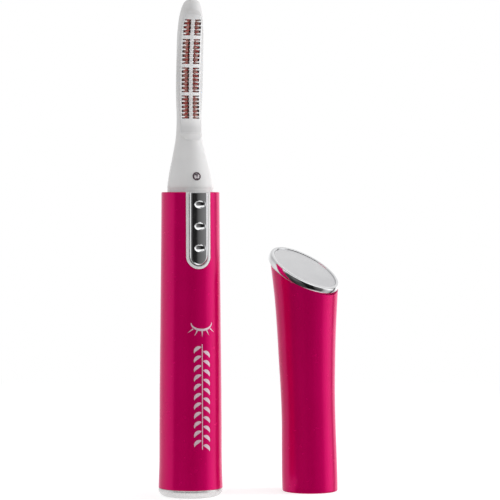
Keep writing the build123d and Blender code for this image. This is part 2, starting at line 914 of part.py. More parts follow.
def cap_trim_ring():
    rim = 1.25
    with BuildPart() as piece:
        with BuildSketch(cap_top.offset(trim_floor)):
            Ellipse(trim_a, trim_b)
        extrude(amount=-trim_floor)
        fillet(piece.faces().sort_by(cap_top_axis)[-1].edges(), radius=0.75)
        fillet(piece.faces().sort_by(cap_top_axis)[0].edges(), radius=0.3)
        with BuildSketch(cap_top.offset(-trim_thick)):
            Ellipse(trim_a - rim, trim_b - rim)
        extrude(amount=trim_thick + 1, mode=Mode.SUBTRACT)
    return piece.part


def cap_disc():
    inset = 1.30
    with BuildPart() as piece:
        with BuildSketch(cap_top.offset(-1.35)):
            Ellipse(trim_a - inset, trim_b - inset)
        extrude(amount=1.1)
        chamfer(piece.faces().sort_by(cap_top_axis)[-1].edges(), length=0.25)
    return piece.part


def disc_adhesive_pad():
    inset = 2.2
    with BuildPart() as piece:
        with BuildSketch(cap_top.offset(trim_floor)):
            Ellipse(trim_a - inset, trim_b - inset)
        extrude(amount=0.5)
    return piece.part


def cap_liner():
    z0, z1 = 0.3, 8.0
    with BuildPart() as piece:
        with BuildSketch(Plane.XY.offset(z0)):
            with Locations((cap_x, 0)):
                Circle(cap_mouth_r - 0.03)
                Circle(7.27, mode=Mode.SUBTRACT)
        extrude(amount=z1 - z0)
    return piece.part


# ================================================================ build and export
head_part = head_blank()
chassis_part = chassis_blank(head_part)

pieces = {
    "chassis_front": chassis_front(chassis_part),
    "chassis_rear": chassis_rear(chassis_part),
    "comb_guard": comb_guard(head_part),
}
for side_name, side_x in (("left", -coil_x), ("right", coil_x)):
    pieces["heater_core_" + side_name] = heater_core(side_x)
    pieces["heating_coil_" + side_name] = heating_coil(side_x)
# every other piece takes its name from the function that builds it
for build in (
    base_cap, base_o_ring, negative_contact, negative_spring, battery_cell, battery_label,
    handle_sleeve, chassis_screws, heater_terminal, heater_end_support, heater_leads,
    circuit_board, switch_body, resistor, indicator_led, led_lens, led_ring,
    positive_contact, negative_strip, switch_bezel, switch_slider, slider_carrier,
    switch_knob, cap_shell, cap_trim_ring, cap_disc, disc_adhesive_pad, cap_liner,
):
    pieces[build.__name__] = build()

os.makedirs("parts", exist_ok=True)
for name, part in pieces.items():
    part.label = name
    export_step(part, f"parts/{name}.step")
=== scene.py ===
# Heated comb wand: a tapering lacquered handle stands upright on the floor at the origin,
# with a slide switch and a comb head whose hollow face looks toward -Y (the front).
# +X is on the right seen from the front. The slant-topped cap stands beside it on +X.
# Shapes are written in millimetres and scaled to metres when a mesh is built.
# Material, light and camera values are in metres.
import json
import math
import bmesh
import bpy
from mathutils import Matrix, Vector


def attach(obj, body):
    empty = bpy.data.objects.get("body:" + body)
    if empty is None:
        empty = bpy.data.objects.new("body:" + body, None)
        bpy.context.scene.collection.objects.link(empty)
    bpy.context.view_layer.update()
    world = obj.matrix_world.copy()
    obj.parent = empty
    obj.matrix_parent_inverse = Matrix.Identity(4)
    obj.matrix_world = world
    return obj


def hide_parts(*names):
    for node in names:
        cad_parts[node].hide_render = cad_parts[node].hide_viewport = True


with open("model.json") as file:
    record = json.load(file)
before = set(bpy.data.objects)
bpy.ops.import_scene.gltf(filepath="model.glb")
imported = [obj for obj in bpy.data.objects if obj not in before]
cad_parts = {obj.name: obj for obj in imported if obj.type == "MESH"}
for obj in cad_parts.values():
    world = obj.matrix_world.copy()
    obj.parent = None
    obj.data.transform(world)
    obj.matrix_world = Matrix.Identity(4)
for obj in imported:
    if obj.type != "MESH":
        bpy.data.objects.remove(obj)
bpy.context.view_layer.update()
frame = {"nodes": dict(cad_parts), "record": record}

MM = 0.001

# ------------------------------------------------------------------ shared dimensions
# Handle sleeve: z, outer radius
SLEEVE = [
    (2.62, 10.05), (8.75, 9.84), (21.9, 9.75), (38.75, 9.62),
    (51.9, 9.47), (61.25, 9.38), (80.0, 9.18), (95.0, 9.06),
]
SLEEVE_TOP = SLEEVE[-1][0]

# Neck and head ellipses: z, half width (x), half depth (y), y of the centre
HEAD = [
    (97.0, 7.20, 7.20, 0.00), (100.6, 6.62, 6.78, 0.22), (104.4, 5.75, 6.05, 0.60),
    (108.1, 4.90, 5.25, 1.05), (112.0, 4.14, 4.55, 1.45), (117.0, 3.88, 4.00, 1.55),
    (126.0, 4.20, 3.70, 1.25), (138.0, 4.20, 3.60, 0.50), (146.0, 4.00, 3.80, -0.15),
    (150.6, 3.55, 3.05, -0.95), (152.9, 2.95, 2.30, -1.45), (154.2, 2.20, 1.60, -1.75),
    (154.9, 1.25, 0.90, -1.90),
]
HEAD_TOP = HEAD[-1][0]

# The comb face follows a large arc in the YZ plane, hollow toward the front
SCOOP_R, SCOOP_Y, SCOOP_Z = 98.0, -98.5, 126.0
FACE_START, FACE_FULL = 108.6, 113.8    # heights where the face begins and meets the arc
FACE_START_Y = -5.0
CROWN = 16.0                            # the face falls back by x * x / CROWN
HOLLOW_FRONT_R = SCOOP_R - 1.6
HOLLOW_BACK_R = SCOOP_R + 3.43
COIL_R = SCOOP_R + 1.48                 # arc followed by the heater axes

# Openings of the comb guard: bottom z, top z
WINDOWS = ((117.9, 125.1), (126.1, 133.8), (134.9, 142.6), (143.7, 148.6))


# ------------------------------------------------------------------ curves and numbers
def interp(table, z, column):
    """Smooth value through the table's points (finite-difference cubic)."""
    last = len(table) - 1
    if z <= table[0][0]:
        return table[0][column]
    if z >= table[last][0]:
        return table[last][column]
    i = next(j for j in range(last) if table[j][0] <= z <= table[j + 1][0])

    def span(j):
        return table[j + 1][0] - table[j][0]

    def chord(j):
        return (table[j + 1][column] - table[j][column]) / span(j)

    def slope(j):
        if j <= 0:
            return chord(0)
        if j >= last:
            return chord(last - 1)
        before, after = span(j - 1), span(j)
        return (chord(j - 1) * after + chord(j) * before) / (before + after)

    start, end = table[i][column], table[i + 1][column]
    t = (z - table[i][0]) / span(i)
    start_slope, end_slope = slope(i) * span(i), slope(i + 1) * span(i)
    return ((2 * t ** 3 - 3 * t ** 2 + 1) * start + (t ** 3 - 2 * t ** 2 + t) * start_slope
            + (3 * t ** 2 - 2 * t ** 3) * end + (t ** 3 - t ** 2) * end_slope)


def spread(start, end, steps, first=0):
    """Even stations from start to end, beginning with step number `first`."""
    return [start + (end - start) * i / steps for i in range(first, steps + 1)]


def quarter(steps, first=0):
    """Angles over a quarter turn, beginning with step number `first`."""
    return [math.pi / 2 * k / steps for k in range(first, steps + 1)]


def circle(count):
    """Angles of `count` points round a full turn."""
    return [2 * math.pi * k / count for k in range(count)]


def bisect(low, high, below):
    """The value between low and high where below() stops being true."""
    for _ in range(40):
        middle = (low + high) / 2
        if below(middle):
            low = middle
        else:
            high = middle
    return (low + high) / 2


def around(radius, angle, z, x_centre=0.0):
    """Point round a vertical axis; angle 0 is the front and a quarter turn is +X."""
    return (x_centre + radius * math.sin(angle), -radius * math.cos(angle), z)


def sleeve_r(z):
    return interp(SLEEVE, z, 1)


def bore_r(z):
    return 8.80 if z < 11.4 else 8.75 - 0.69 * (z - 12.0) / 83.0


def arc_y(z, radius):
    return SCOOP_Y + math.sqrt(radius ** 2 - (z - SCOOP_Z) ** 2)


# ------------------------------------------------------------------ mesh helpers
# A shape is a pair: vertices in millimetres, and faces.
def grid_faces(rows, columns, wrap_rows=False, wrap_columns=False, base=0):
    faces = []
    for i in range(rows if wrap_rows else rows - 1):
        for j in range(columns if wrap_columns else columns - 1):
            row, next_row = base + i * columns, base + (i + 1) % rows * columns
            next_j = (j + 1) % columns
            faces.append((row + j, row + next_j, next_row + next_j, next_row + j))
    return faces


def loft(rings, closed=False, flip_ends=False):
    """Skin over rings of points; either the last ring meets the first or both ends are filled."""
    rows, sides = len(rings), len(rings[0])
    verts = [point for ring in rings for point in ring]
    faces = grid_faces(rows, sides, closed, True)
    if not closed:
        first = tuple(range(sides))
        last = tuple((rows - 1) * sides + k for k in range(sides))
        faces += [first, last[::-1]] if flip_ends else [first[::-1], last]
    return verts, faces


def lathe_solid(profile, sides):
    """Solid from an open (radius, z) profile that starts and ends on the axis."""
    verts = [(0.0, 0.0, profile[0][1])]
    for radius, z in profile[1:-1]:
        verts += [around(radius, angle, z) for angle in circle(sides)]
    verts.append((0.0, 0.0, profile[-1][1]))
    rows = len(profile) - 2
    last = len(verts) - 1
    last_ring = 1 + (rows - 1) * sides
    faces = grid_faces(rows, sides, False, True, base=1)
    for j in range(sides):
        next_j = (j + 1) % sides
        faces.append((0, 1 + j, 1 + next_j))
        faces.append((last, last_ring + next_j, last_ring + j))
    return verts, faces


def slab(outline, y_front, y_back):
    """Flat plate with an (x, z) outline."""
    count = len(outline)
    verts = [(x, y, z) for y in (y_front, y_back) for x, z in outline]
    faces = [tuple(range(count)), tuple(count + k for k in reversed(range(count)))]
    for k in range(count):
        next_k = (k + 1) % count
        faces.append((k, count + k, count + next_k, next_k))
    return verts, faces


def join(shapes):
    verts, faces = [], []
    for part_verts, part_faces in shapes:
        base = len(verts)
        verts += part_verts
        faces += [tuple(base + k for k in face) for face in part_faces]
    return verts, faces


def scaled_mesh(name, shape):
    verts, faces = shape
    mesh = bpy.data.meshes.new(name)
    mesh.from_pydata([(v[0] * MM, v[1] * MM, v[2] * MM) for v in verts], [], faces)
    return mesh


def round_edges(obj, width, angle):
    bevel = obj.modifiers.new("edge", "BEVEL")
    bevel.width = width * MM
    bevel.segments = 2
    bevel.limit_method = "ANGLE"
    bevel.angle_limit = math.radians(angle)
    obj.modifiers.new("normals", "WEIGHTED_NORMAL")


def build(name, shape, slot, nodes=(), body="handle", material=None,
          angle=35.0, bevel=0.0, merge=1e-7):
    """Make an object. Edges over `angle` degrees stay sharp; `merge` is in metres."""
    mesh = scaled_mesh(name, shape)
    mesh.update()
    bm = bmesh.new()
    bm.from_mesh(mesh)
    bmesh.ops.remove_doubles(bm, verts=bm.verts, dist=merge)
    bmesh.ops.dissolve_degenerate(bm, edges=bm.edges, dist=1e-8)
    bmesh.ops.recalc_face_normals(bm, faces=bm.faces)
    limit = math.radians(angle)
    for edge in bm.edges:
        if len(edge.link_faces) == 2 and edge.calc_face_angle(0.0) > limit:
            edge.smooth = False
    for face in bm.faces:
        face.smooth = True
    bm.to_mesh(mesh)
    bm.free()
    obj = bpy.data.objects.new(name, mesh)
    bpy.context.scene.collection.objects.link(obj)
    mesh.materials.append(material or MATERIALS[slot])
    if bevel:
        round_edges(obj, bevel, angle=35)
    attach(obj, body)
    if nodes:
        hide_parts(*nodes)
    return obj


# ------------------------------------------------------------------ shader helpers
def add_node(tree, kind, inputs=None, **properties):
    """Add a shader node; each input takes either a value or a socket to link from."""
    node = tree.nodes.new("ShaderNode" + kind)
    for key, value in properties.items():
        setattr(node, key, value)
    for key, value in (inputs or {}).items():
        if isinstance(value, bpy.types.NodeSocket):
            tree.links.new(value, node.inputs[key])
        else:
            node.inputs[key].default_value = value
    return node


def add_math(tree, operation, *values):
    node = add_node(tree, "Math", dict(enumerate(values)), operation=operation)
    return node.outputs[0]


def add_ramp(tree, fac, stops):
    """Colour ramp with stops of (position, (r, g, b))."""
    node = tree.nodes.new("ShaderNodeValToRGB")
    elements = node.color_ramp.elements
    while len(elements) < len(stops):
        elements.new(0.5)
    for element, (position, colour) in zip(elements, stops):
        element.position = position
        element.color = (*colour, 1.0)
    tree.links.new(fac, node.inputs["Fac"])
    return node.outputs["Color"]


class Surface:
    """A principled material whose inputs can be driven from procedural textures."""

    def __init__(self, name, **values):
        self.material = bpy.data.materials.new(name)
        self.material.use_nodes = True
        self.tree = self.material.node_tree
        self.bsdf = self.tree.nodes["Principled BSDF"]
        self.position = add_node(self.tree, "TexCoord").outputs["Object"]
        self.normal = None
        for key, value in values.items():
            self.bsdf.inputs[key.replace("_", " ")].default_value = value

    def coords(self, stretch):
        node = add_node(self.tree, "Mapping", {"Scale": stretch, "Vector": self.position})
        return node.outputs["Vector"]

    def noise(self, scale, detail=4.0, roughness=0.55, stretch=(1, 1, 1)):
        inputs = {"Scale": scale, "Detail": detail, "Roughness": roughness,
                  "Vector": self.coords(stretch)}
        return add_node(self.tree, "TexNoise", inputs).outputs["Fac"]

    def cells(self, scale):
        """Red channel of the random cell colours."""
        inputs = {"Scale": scale, "Vector": self.coords((1, 1, 1))}
        colour = add_node(self.tree, "TexVoronoi", inputs).outputs["Color"]
        return add_node(self.tree, "SeparateColor", {"Color": colour}).outputs["Red"]

    def split_position(self):
        return add_node(self.tree, "SeparateXYZ", {0: self.position}).outputs

    def ramp(self, fac, stops):
        return add_ramp(self.tree, fac, stops)

    def mottle(self, dark, light, **noise):
        return self.ramp(self.noise(**noise), [(0.3, dark), (0.7, light)])

    def remap(self, value, low, high, from_low=0.3, from_high=0.7):
        inputs = {"Value": value, "From Min": from_low, "From Max": from_high,
                  "To Min": low, "To Max": high}
        return add_node(self.tree, "MapRange", inputs).outputs["Result"]

    def mix(self, fac, first, second):
        node = add_node(self.tree, "Mix", {0: fac, 6: first, 7: second}, data_type="RGBA")
        return node.outputs[2]

    def math(self, operation, first, second=0.0):
        return add_math(self.tree, operation, first, second, 0.0)

    def drive(self, name, source):
        self.tree.links.new(source, self.bsdf.inputs[name])

    def vary(self, name, source, low, high):
        self.drive(name, self.remap(source, low, high))

    def bump(self, height, distance, strength):
        """Add a bump on top of any earlier one."""
        inputs = {"Strength": strength, "Distance": distance, "Height": height}
        if self.normal:
            inputs["Normal"] = self.normal
        self.normal = add_node(self.tree, "Bump", inputs).outputs["Normal"]
        self.drive("Normal", self.normal)


# ------------------------------------------------------------------ materials
def magenta_lacquer():
    s = Surface("magenta_lacquer", Metallic=0.34, Roughness=0.22, Coat_Weight=0.10,
                Coat_Roughness=0.05, Coat_IOR=1.45, Specular_IOR_Level=0.6,
                Specular_Tint=(1.0, 0.03, 0.62, 1.0))
    flake = s.cells(scale=9000.0)
    base = s.mottle((0.550, 0.0001, 0.092), (0.600, 0.0003, 0.108), scale=55.0, detail=3)
    glint = s.ramp(flake, [(0.0, (0.530, 0.0001, 0.080)), (0.85, (0.62, 0.0004, 0.108)),
                           (1.0, (0.68, 0.001, 0.13))])
    s.drive("Base Color", s.mix(fac=0.12, first=base, second=glint))
    s.vary("Roughness", s.noise(scale=420.0, detail=5), low=0.2, high=0.28)
    s.vary("Coat Roughness", s.noise(scale=160.0, detail=6, roughness=0.65), low=0.03, high=0.09)
    s.bump(s.noise(scale=700.0, detail=2), distance=0.000010, strength=0.2)
    return s.material


def satin_silver(name, stretch=(1, 1, 1)):
    s = Surface(name, Metallic=1.0, Roughness=0.34)
    s.drive("Base Color", s.mottle((0.70, 0.70, 0.715), (0.78, 0.78, 0.79), scale=70.0))
    grain = s.noise(scale=2600.0, detail=6, roughness=0.7, stretch=stretch)
    s.vary("Roughness", grain, low=0.26, high=0.42)
    s.bump(grain, distance=0.000006, strength=0.5)
    s.bump(s.noise(scale=240.0, detail=3), distance=0.00001, strength=0.15)
    return s.material


def bright_chrome():
    s = Surface("bright_chrome", Metallic=1.0, Roughness=0.08)
    s.drive("Base Color", s.mottle((0.78, 0.785, 0.80), (0.86, 0.865, 0.875),
                                   scale=120.0, detail=3))
    s.vary("Roughness", s.noise(scale=650.0, detail=6, roughness=0.7), low=0.045, high=0.15)
    s.bump(s.noise(scale=500.0, detail=2), distance=0.000008, strength=0.3)
    return s.material


def paint_lit_span(s, tone):
    """Painted light: lighter tone between two heights, faded at both ends, to offset the shade on
    the guard.
    """
    z = s.split_position()["Z"]
    fade = s.math("MULTIPLY",
                  s.remap(z, low=0.0, high=1.0, from_low=0.1152, from_high=0.1184),
                  s.remap(z, low=1.0, high=0.0, from_low=0.1478, from_high=0.1502))
    return s.mix(fade, tone, (0.91, 0.905, 0.905, 1.0))


def paint_hollow_shade(s, tone):
    """Painted shade: dark red-brown tone on the surfaces in the hollow behind the comb face, where
    shade falls.
    """
    half_width = 0.0030
    taper_start, taper_rate = 0.1462, 0.36      # the zone narrows above this height
    bottom, top = 0.1134, 0.1501
    fade_start, fade_end, deepest = 0.0008, 0.0011, 0.0037   # depths behind the scoop arc
    hollow_shade_colour = (0.16, 0.085, 0.07, 1.0)

    position = s.split_position()
    x, y, z = position["X"], position["Y"], position["Z"]
    dz = s.math("SUBTRACT", z, SCOOP_Z * MM)
    root = s.math("SQRT", s.math("SUBTRACT", (SCOOP_R * MM) ** 2, s.math("MULTIPLY", dz, dz)))
    depth = s.math("SUBTRACT", s.math("SUBTRACT", y, SCOOP_Y * MM), root)
    taper = s.math("MAXIMUM", s.math("SUBTRACT", z, taper_start), 0.0)
    spread_x = s.math("ADD", s.math("ABSOLUTE", x), s.math("MULTIPLY", taper, taper_rate))
    near = s.math("LESS_THAN", spread_x, half_width)
    deep = s.remap(depth, low=0.0, high=1.0, from_low=fade_start, from_high=fade_end)
    level = s.math("MULTIPLY", s.math("GREATER_THAN", z, bottom), s.math("LESS_THAN", z, top))
    shallow = s.math("LESS_THAN", depth, deepest)
    inside = s.math("MULTIPLY", s.math("MULTIPLY", near, deep), s.math("MULTIPLY", level, shallow))
    return s.mix(inside, tone, hollow_shade_colour)


def white_plastic(name, light_and_shade_paint=None):
    s = Surface(name, Roughness=0.33, IOR=1.5, Subsurface_Weight=0.12, Subsurface_Scale=0.0012,
                Coat_Weight=0.15, Coat_Roughness=0.2, Subsurface_Radius=(1.0, 0.9, 0.8))
    tone = s.mottle((0.665, 0.66, 0.66), (0.725, 0.72, 0.72), scale=90.0)
    # optional painted light and shade laid over the plastic's tone
    if light_and_shade_paint:
        tone = light_and_shade_paint(s, tone)
    s.drive("Base Color", tone)
    s.vary("Roughness", s.noise(scale=900.0, detail=5, roughness=0.65), low=0.27, high=0.42)
    s.bump(s.noise(scale=3800.0, detail=3), distance=0.000010, strength=0.35)
    s.bump(s.noise(scale=180.0, detail=2), distance=0.000018, strength=0.2)
    return s.material


def copper_heater():
    s = Surface("copper_heater", Metallic=0.45, Roughness=0.35)
    tone_and_highlight_patches = s.noise(scale=1100.0, detail=4, roughness=0.6)
    # Random patches of dark red and red; the pale pink stop is painted highlight on the wire.
    s.drive("Base Color", s.ramp(tone_and_highlight_patches, [(0.3, (0.26, 0.016, 0.018)),
                                           (0.5, (0.54, 0.060, 0.055)),
                                           (0.66, (0.95, 0.66, 0.60))]))
    s.vary("Roughness", s.noise(scale=3000.0, detail=4), low=0.22, high=0.5)
    s.bump(s.noise(scale=5000.0, detail=3), distance=0.00001, strength=0.5)
    return s.material


def clear_lens():
    s = Surface("clear_lens", Roughness=0.08, IOR=1.49, Transmission_Weight=0.25,
                Coat_Weight=0.8, Coat_Roughness=0.03)
    # Dark and pale patches in the lens colour are painted reflections and glints.
    s.drive("Base Color", s.ramp(s.noise(scale=1500.0, detail=2),
                                 [(0.40, (0.012, 0.006, 0.010)), (0.50, (0.22, 0.16, 0.19)),
                                  (0.56, (0.36, 0.30, 0.33)), (0.62, (0.86, 0.82, 0.84))]))
    s.vary("Roughness", s.noise(scale=2500.0, detail=3), low=0.05, high=0.14)
    s.bump(s.noise(scale=1800.0, detail=2), distance=0.00001, strength=0.2)
    return s.material


def ornament_silver():
    s = Surface("ornament_silver", Metallic=0.35, Roughness=0.4, Coat_Weight=0.5,
                Coat_Roughness=0.1)
    s.drive("Base Color", s.mottle((0.66, 0.47, 0.56), (0.80, 0.66, 0.72),
                                   scale=1800.0, detail=5, roughness=0.7))
    s.vary("Roughness", s.noise(scale=2600.0, detail=4), low=0.3, high=0.5)
    s.bump(s.noise(scale=5200.0, detail=2), distance=0.000006, strength=0.4)
    return s.material


def plain(name, dark, light, roughness, metallic=0.0, scale=900.0, bump=0.00001,
          strength=0.4, stretch=(1, 1, 1)):
    """Two mottled colours, with one fine noise for both roughness (low, high) and bump."""
    s = Surface(name, Metallic=metallic)
    s.drive("Base Color", s.mottle(dark, light, scale=scale * 0.3))
    grain = s.noise(scale=scale, detail=5, roughness=0.65, stretch=stretch)
    s.vary("Roughness", grain, *roughness)
    s.bump(grain, distance=bump, strength=strength)
    return s.material


PLAIN_MATERIALS = {
    "grey_plastic": dict(dark=(0.035, 0.036, 0.04), light=(0.06, 0.06, 0.065),
                         roughness=(0.4, 0.6)),
    "black_rubber": dict(dark=(0.012, 0.012, 0.012), light=(0.03, 0.03, 0.03),
                         roughness=(0.6, 0.85), scale=1800.0, bump=0.00002),
    "nickel_contact": dict(dark=(0.62, 0.58, 0.50), light=(0.74, 0.71, 0.64), metallic=1.0,
                           roughness=(0.18, 0.38), scale=1600.0, stretch=(1, 1, 0.15)),
    "ceramic_core": dict(dark=(0.42, 0.16, 0.13), light=(0.62, 0.38, 0.33),
                         roughness=(0.55, 0.8), scale=2600.0, bump=0.00002),
    "board_green": dict(dark=(0.006, 0.07, 0.03), light=(0.012, 0.11, 0.05),
                        roughness=(0.25, 0.45), scale=700.0),
    "cell_steel": dict(dark=(0.55, 0.55, 0.55), light=(0.68, 0.68, 0.68), metallic=1.0,
                       roughness=(0.2, 0.35), scale=1200.0),
    "cell_wrap": dict(dark=(0.012, 0.02, 0.035), light=(0.03, 0.045, 0.07), metallic=0.3,
                      roughness=(0.2, 0.35), scale=500.0),
    "dark_ring": dict(dark=(0.03, 0.012, 0.02), light=(0.07, 0.03, 0.045), metallic=0.2,
                      roughness=(0.18, 0.35), scale=1500.0),
    "screw_steel": dict(dark=(0.38, 0.38, 0.40), light=(0.50, 0.50, 0.52), metallic=1.0,
                        roughness=(0.25, 0.45), scale=1500.0),
    "lead_insulation": dict(dark=(0.35, 0.012, 0.01), light=(0.48, 0.03, 0.02),
                            roughness=(0.4, 0.6)),
    "foam_pad": dict(dark=(0.40, 0.40, 0.37), light=(0.55, 0.55, 0.50),
                     roughness=(0.8, 0.95), scale=2400.0, bump=0.00004),
}
# One material for each slot of the product
MATERIALS = {
    "magenta_lacquer": magenta_lacquer(),
    "bright_chrome": bright_chrome(),
    "satin_silver": satin_silver("satin_silver_30"),
    "white_plastic": white_plastic("white_plastic"),
    "copper_heater": copper_heater(),
    "clear_lens": clear_lens(),
    **{name: plain(name, **values) for name, values in PLAIN_MATERIALS.items()},
}
# The head's white plastic carries painted shade in the hollow behind the comb face.
WHITE_HEAD = white_plastic("white_plastic_head", paint_hollow_shade)
# The guard's white plastic carries painted light: a lighter tone that offsets its shade.
WHITE_GUARD = white_plastic("white_plastic_guard", paint_lit_span)


def paint_cad_nodes():
    slots = {part["node"]: part["material_slot"] for part in frame["record"]["subparts"]}
    for node, obj in frame["nodes"].items():
        obj.data.materials.clear()
        obj.data.materials.append(MATERIALS[slots[node]])
        for poly in obj.data.polygons:
            poly.material_index = 0


# ------------------------------------------------------------------ handle sleeve
NOTCH_HALF, NOTCH_BOTTOM = 3.95, 71.15      # round-bottomed notch in the front, open at the top
NOTCH_CENTRE = NOTCH_BOTTOM + NOTCH_HALF
SLEEVE_RIM = 0.34                           # rounding of the top edge
SLEEVE_CHAMFER = 0.12                       # narrowing of the lowest row
SLEEVE_COLUMNS = 161


def notch_half(z):
    if z <= NOTCH_BOTTOM:
        return 0.0
    if z >= NOTCH_CENTRE:
        return NOTCH_HALF
    return math.sqrt(max(0.0, NOTCH_HALF ** 2 - (NOTCH_CENTRE - z) ** 2))


def sleeve():
    rim_start = SLEEVE_TOP - SLEEVE_RIM
    heights = [SLEEVE[0][0], 2.75, 3.1] + spread(3.6, 70.6, 46)
    heights += [NOTCH_BOTTOM + NOTCH_HALF * (1 - math.cos(a)) for a in quarter(22)]
    heights += spread(NOTCH_CENTRE, rim_start, 18, first=1)
    outer = [(sleeve_r(z), z) for z in heights]
    outer[0] = (outer[0][0] - SLEEVE_CHAMFER, outer[0][1])
    outer += [(sleeve_r(SLEEVE_TOP) - SLEEVE_RIM * (1 - math.cos(a)),
               rim_start + SLEEVE_RIM * math.sin(a)) for a in quarter(6, first=1)]
    inner = [(bore_r(z), z) for _, z in outer]
    verts = []
    for radius, z in outer + inner[::-1]:
        edge = math.asin(min(1.0, notch_half(z) / radius))
        verts += [around(radius, angle, z)
                  for angle in spread(edge, 2 * math.pi - edge, SLEEVE_COLUMNS - 1)]
    count = len(outer)
    faces = grid_faces(2 * count, SLEEVE_COLUMNS, True, False)
    # walls of the notch, from the outer rows to the matching inner rows
    for i in range(count - 1):
        if outer[i][1] >= NOTCH_BOTTOM - 1e-6:
            rows = (i, i + 1, 2 * count - 2 - i, 2 * count - 1 - i)
            faces.append(tuple(row * SLEEVE_COLUMNS for row in rows))
            faces.append(tuple(rows[k] * SLEEVE_COLUMNS + SLEEVE_COLUMNS - 1
                               for k in (0, 3, 2, 1)))
    build("sleeve_lacquered", (verts, faces), "magenta_lacquer", ["handle_sleeve"],
          merge=2e-6, angle=40)


# ------------------------------------------------------------------ end cap
FOOT_ROUND, FOOT_FLAT_R = 2.2, 7.85
# Rest of the section above the rounded foot: radius, z
FOOT_UPPER = [
    (10.05, 2.45), (9.97, 2.58), (9.6, 2.6), (8.72, 2.6), (8.72, 6.0), (7.86, 6.0), (7.86, 7.0),
    (8.72, 7.0), (8.72, 9.6), (8.32, 10.0), (7.3, 10.0), (7.3, 1.6), (0.0, 1.6),
]


def end_cap():
    profile = [(0.0, 0.0), (7.6, 0.0)]
    profile += [(FOOT_FLAT_R + FOOT_ROUND * math.sin(a), FOOT_ROUND - FOOT_ROUND * math.cos(a))
                for a in quarter(10)]
    profile += FOOT_UPPER
    material = plain("satin_silver_end", dark=(0.64, 0.63, 0.63), light=(0.72, 0.71, 0.71),
                     metallic=0.75, roughness=(0.22, 0.32), scale=2200.0, bump=0.000002,
                     strength=0.3, stretch=(1, 1, 6))
    build("end_cap_satin", lathe_solid(profile, sides=160), "satin_silver", ["base_cap"],
          body="base", material=material, angle=40)


# ------------------------------------------------------------------ neck and comb head
BACK_STEPS, FACE_STEPS = 72, 10     # steps round the back, and across the face
# Plug and collar under the neck: radius, z
COLLAR = [
    (7.96, 94.15), (7.93, 94.72), (7.85, 94.82), (7.35, 94.84), (7.2, 94.92),
    (7.2, 95.9), (7.14, 95.98), (7.14, 96.12), (7.2, 96.2), (7.2, 96.7),
]
# Rounded tip above the last head ellipse: scale of that ellipse, z
TIP = [(0.62, 155.1), (0.28, 155.2)]
TIP_Z = 155.23
HOLLOW_HALF, HOLLOW_TOP = 2.98, 149.9


def head_ellipse(z):
    """Half width, half depth and y of the centre."""
    return interp(HEAD, z, 1), interp(HEAD, z, 2), interp(HEAD, z, 3)


def face_centre_y(z):
    """Middle line of the front face left by the scoop, or None below it."""
    if z < FACE_START:
        return None
    if z < FACE_FULL:
        t = (z - FACE_START) / (FACE_FULL - FACE_START)
        rise = arc_y(FACE_FULL, SCOOP_R) - FACE_START_Y
        return FACE_START_Y + rise * (3 * t * t - 2 * t ** 3)
    return arc_y(z, SCOOP_R)


def face_crease(z):
    """Half width of the front face and y of its middle; 0 and None where there is none."""
    half_width, half_depth, centre = head_ellipse(z)
    y = face_centre_y(z)
    if y is None or y <= centre - half_depth:
        return 0.0, None

    def ellipse_in_front(x):
        return centre - half_depth * math.sqrt(max(0.0, 1 - (x / half_width) ** 2)) \
            < y + x * x / CROWN

    return bisect(0.0, half_width, ellipse_in_front), y


def face_half(z):
    return face_crease(z)[0]


def head_section(z):
    """(x, y) points from the +X crease round the back to the -X crease, then over the face."""
    half_width, half_depth, centre = head_ellipse(z)
    crease, y = face_crease(z)
    start = 0.0 if y is None else math.asin(min(1.0, crease / half_width))
    points = [(half_width * math.sin(a), centre - half_depth * math.cos(a))
              for a in spread(start, 2 * math.pi - start, BACK_STEPS)]
    if y is None:
        y = centre - half_depth
    for u in spread(-1, 1, FACE_STEPS, first=1)[:-1]:
        points.append((crease * u, y + (crease * u) ** 2 / CROWN))
    return points


def collar_section(radius):
    """Circle with as many points as a head section; the extra ones meet at the front."""
    points = [(radius * math.sin(2 * math.pi * i / BACK_STEPS),
               -radius * math.cos(2 * math.pi * i / BACK_STEPS)) for i in range(BACK_STEPS + 1)]
    return points + [(0.0, -radius)] * (FACE_STEPS - 1)


def head_shape():
    heights = spread(HEAD[0][0], 109.4, 24)
    heights += spread(109.4, 113.2, 24, first=1)
    heights += spread(113.2, 150.0, 60, first=1)
    heights += [150.0 + (HEAD_TOP - 150.0) * math.sin(a) for a in quarter(18, first=1)]
    rows = [[(x, y, z) for x, y in collar_section(radius)] for radius, z in COLLAR]
    rows += [[(x, y, z) for x, y in head_section(z)] for z in heights]
    tip_y = interp(HEAD, HEAD_TOP, 3)
    for scale, z in TIP:
        rows.append([(x * scale, tip_y + (y - tip_y) * scale, z)
                     for x, y in head_section(HEAD_TOP)])
    verts = [point for row in rows for point in row]
    verts += [(0.0, 0.0, COLLAR[0][1]), (0.0, tip_y, TIP_Z)]
    bottom, tip = len(verts) - 2, len(verts) - 1
    count = len(rows[0])
    last_row = (len(rows) - 1) * count
    faces = grid_faces(len(rows), count, False, True)
    for j in range(count):
        next_j = (j + 1) % count
        faces.append((j, next_j, bottom))
        faces.append((last_row + next_j, last_row + j, tip))
    return verts, faces


def hollow_shape():
    """Curved block that opens the face of the head."""
    rings = []
    for z in spread(FACE_FULL, HOLLOW_TOP, 50):
        half = min(HOLLOW_HALF, max(0.6, face_half(z) - 0.42))
        front, back = arc_y(z, HOLLOW_FRONT_R), arc_y(z, HOLLOW_BACK_R)
        rings.append([(-half, front, z), (half, front, z), (half, back, z), (-half, back, z)])
    return loft(rings)


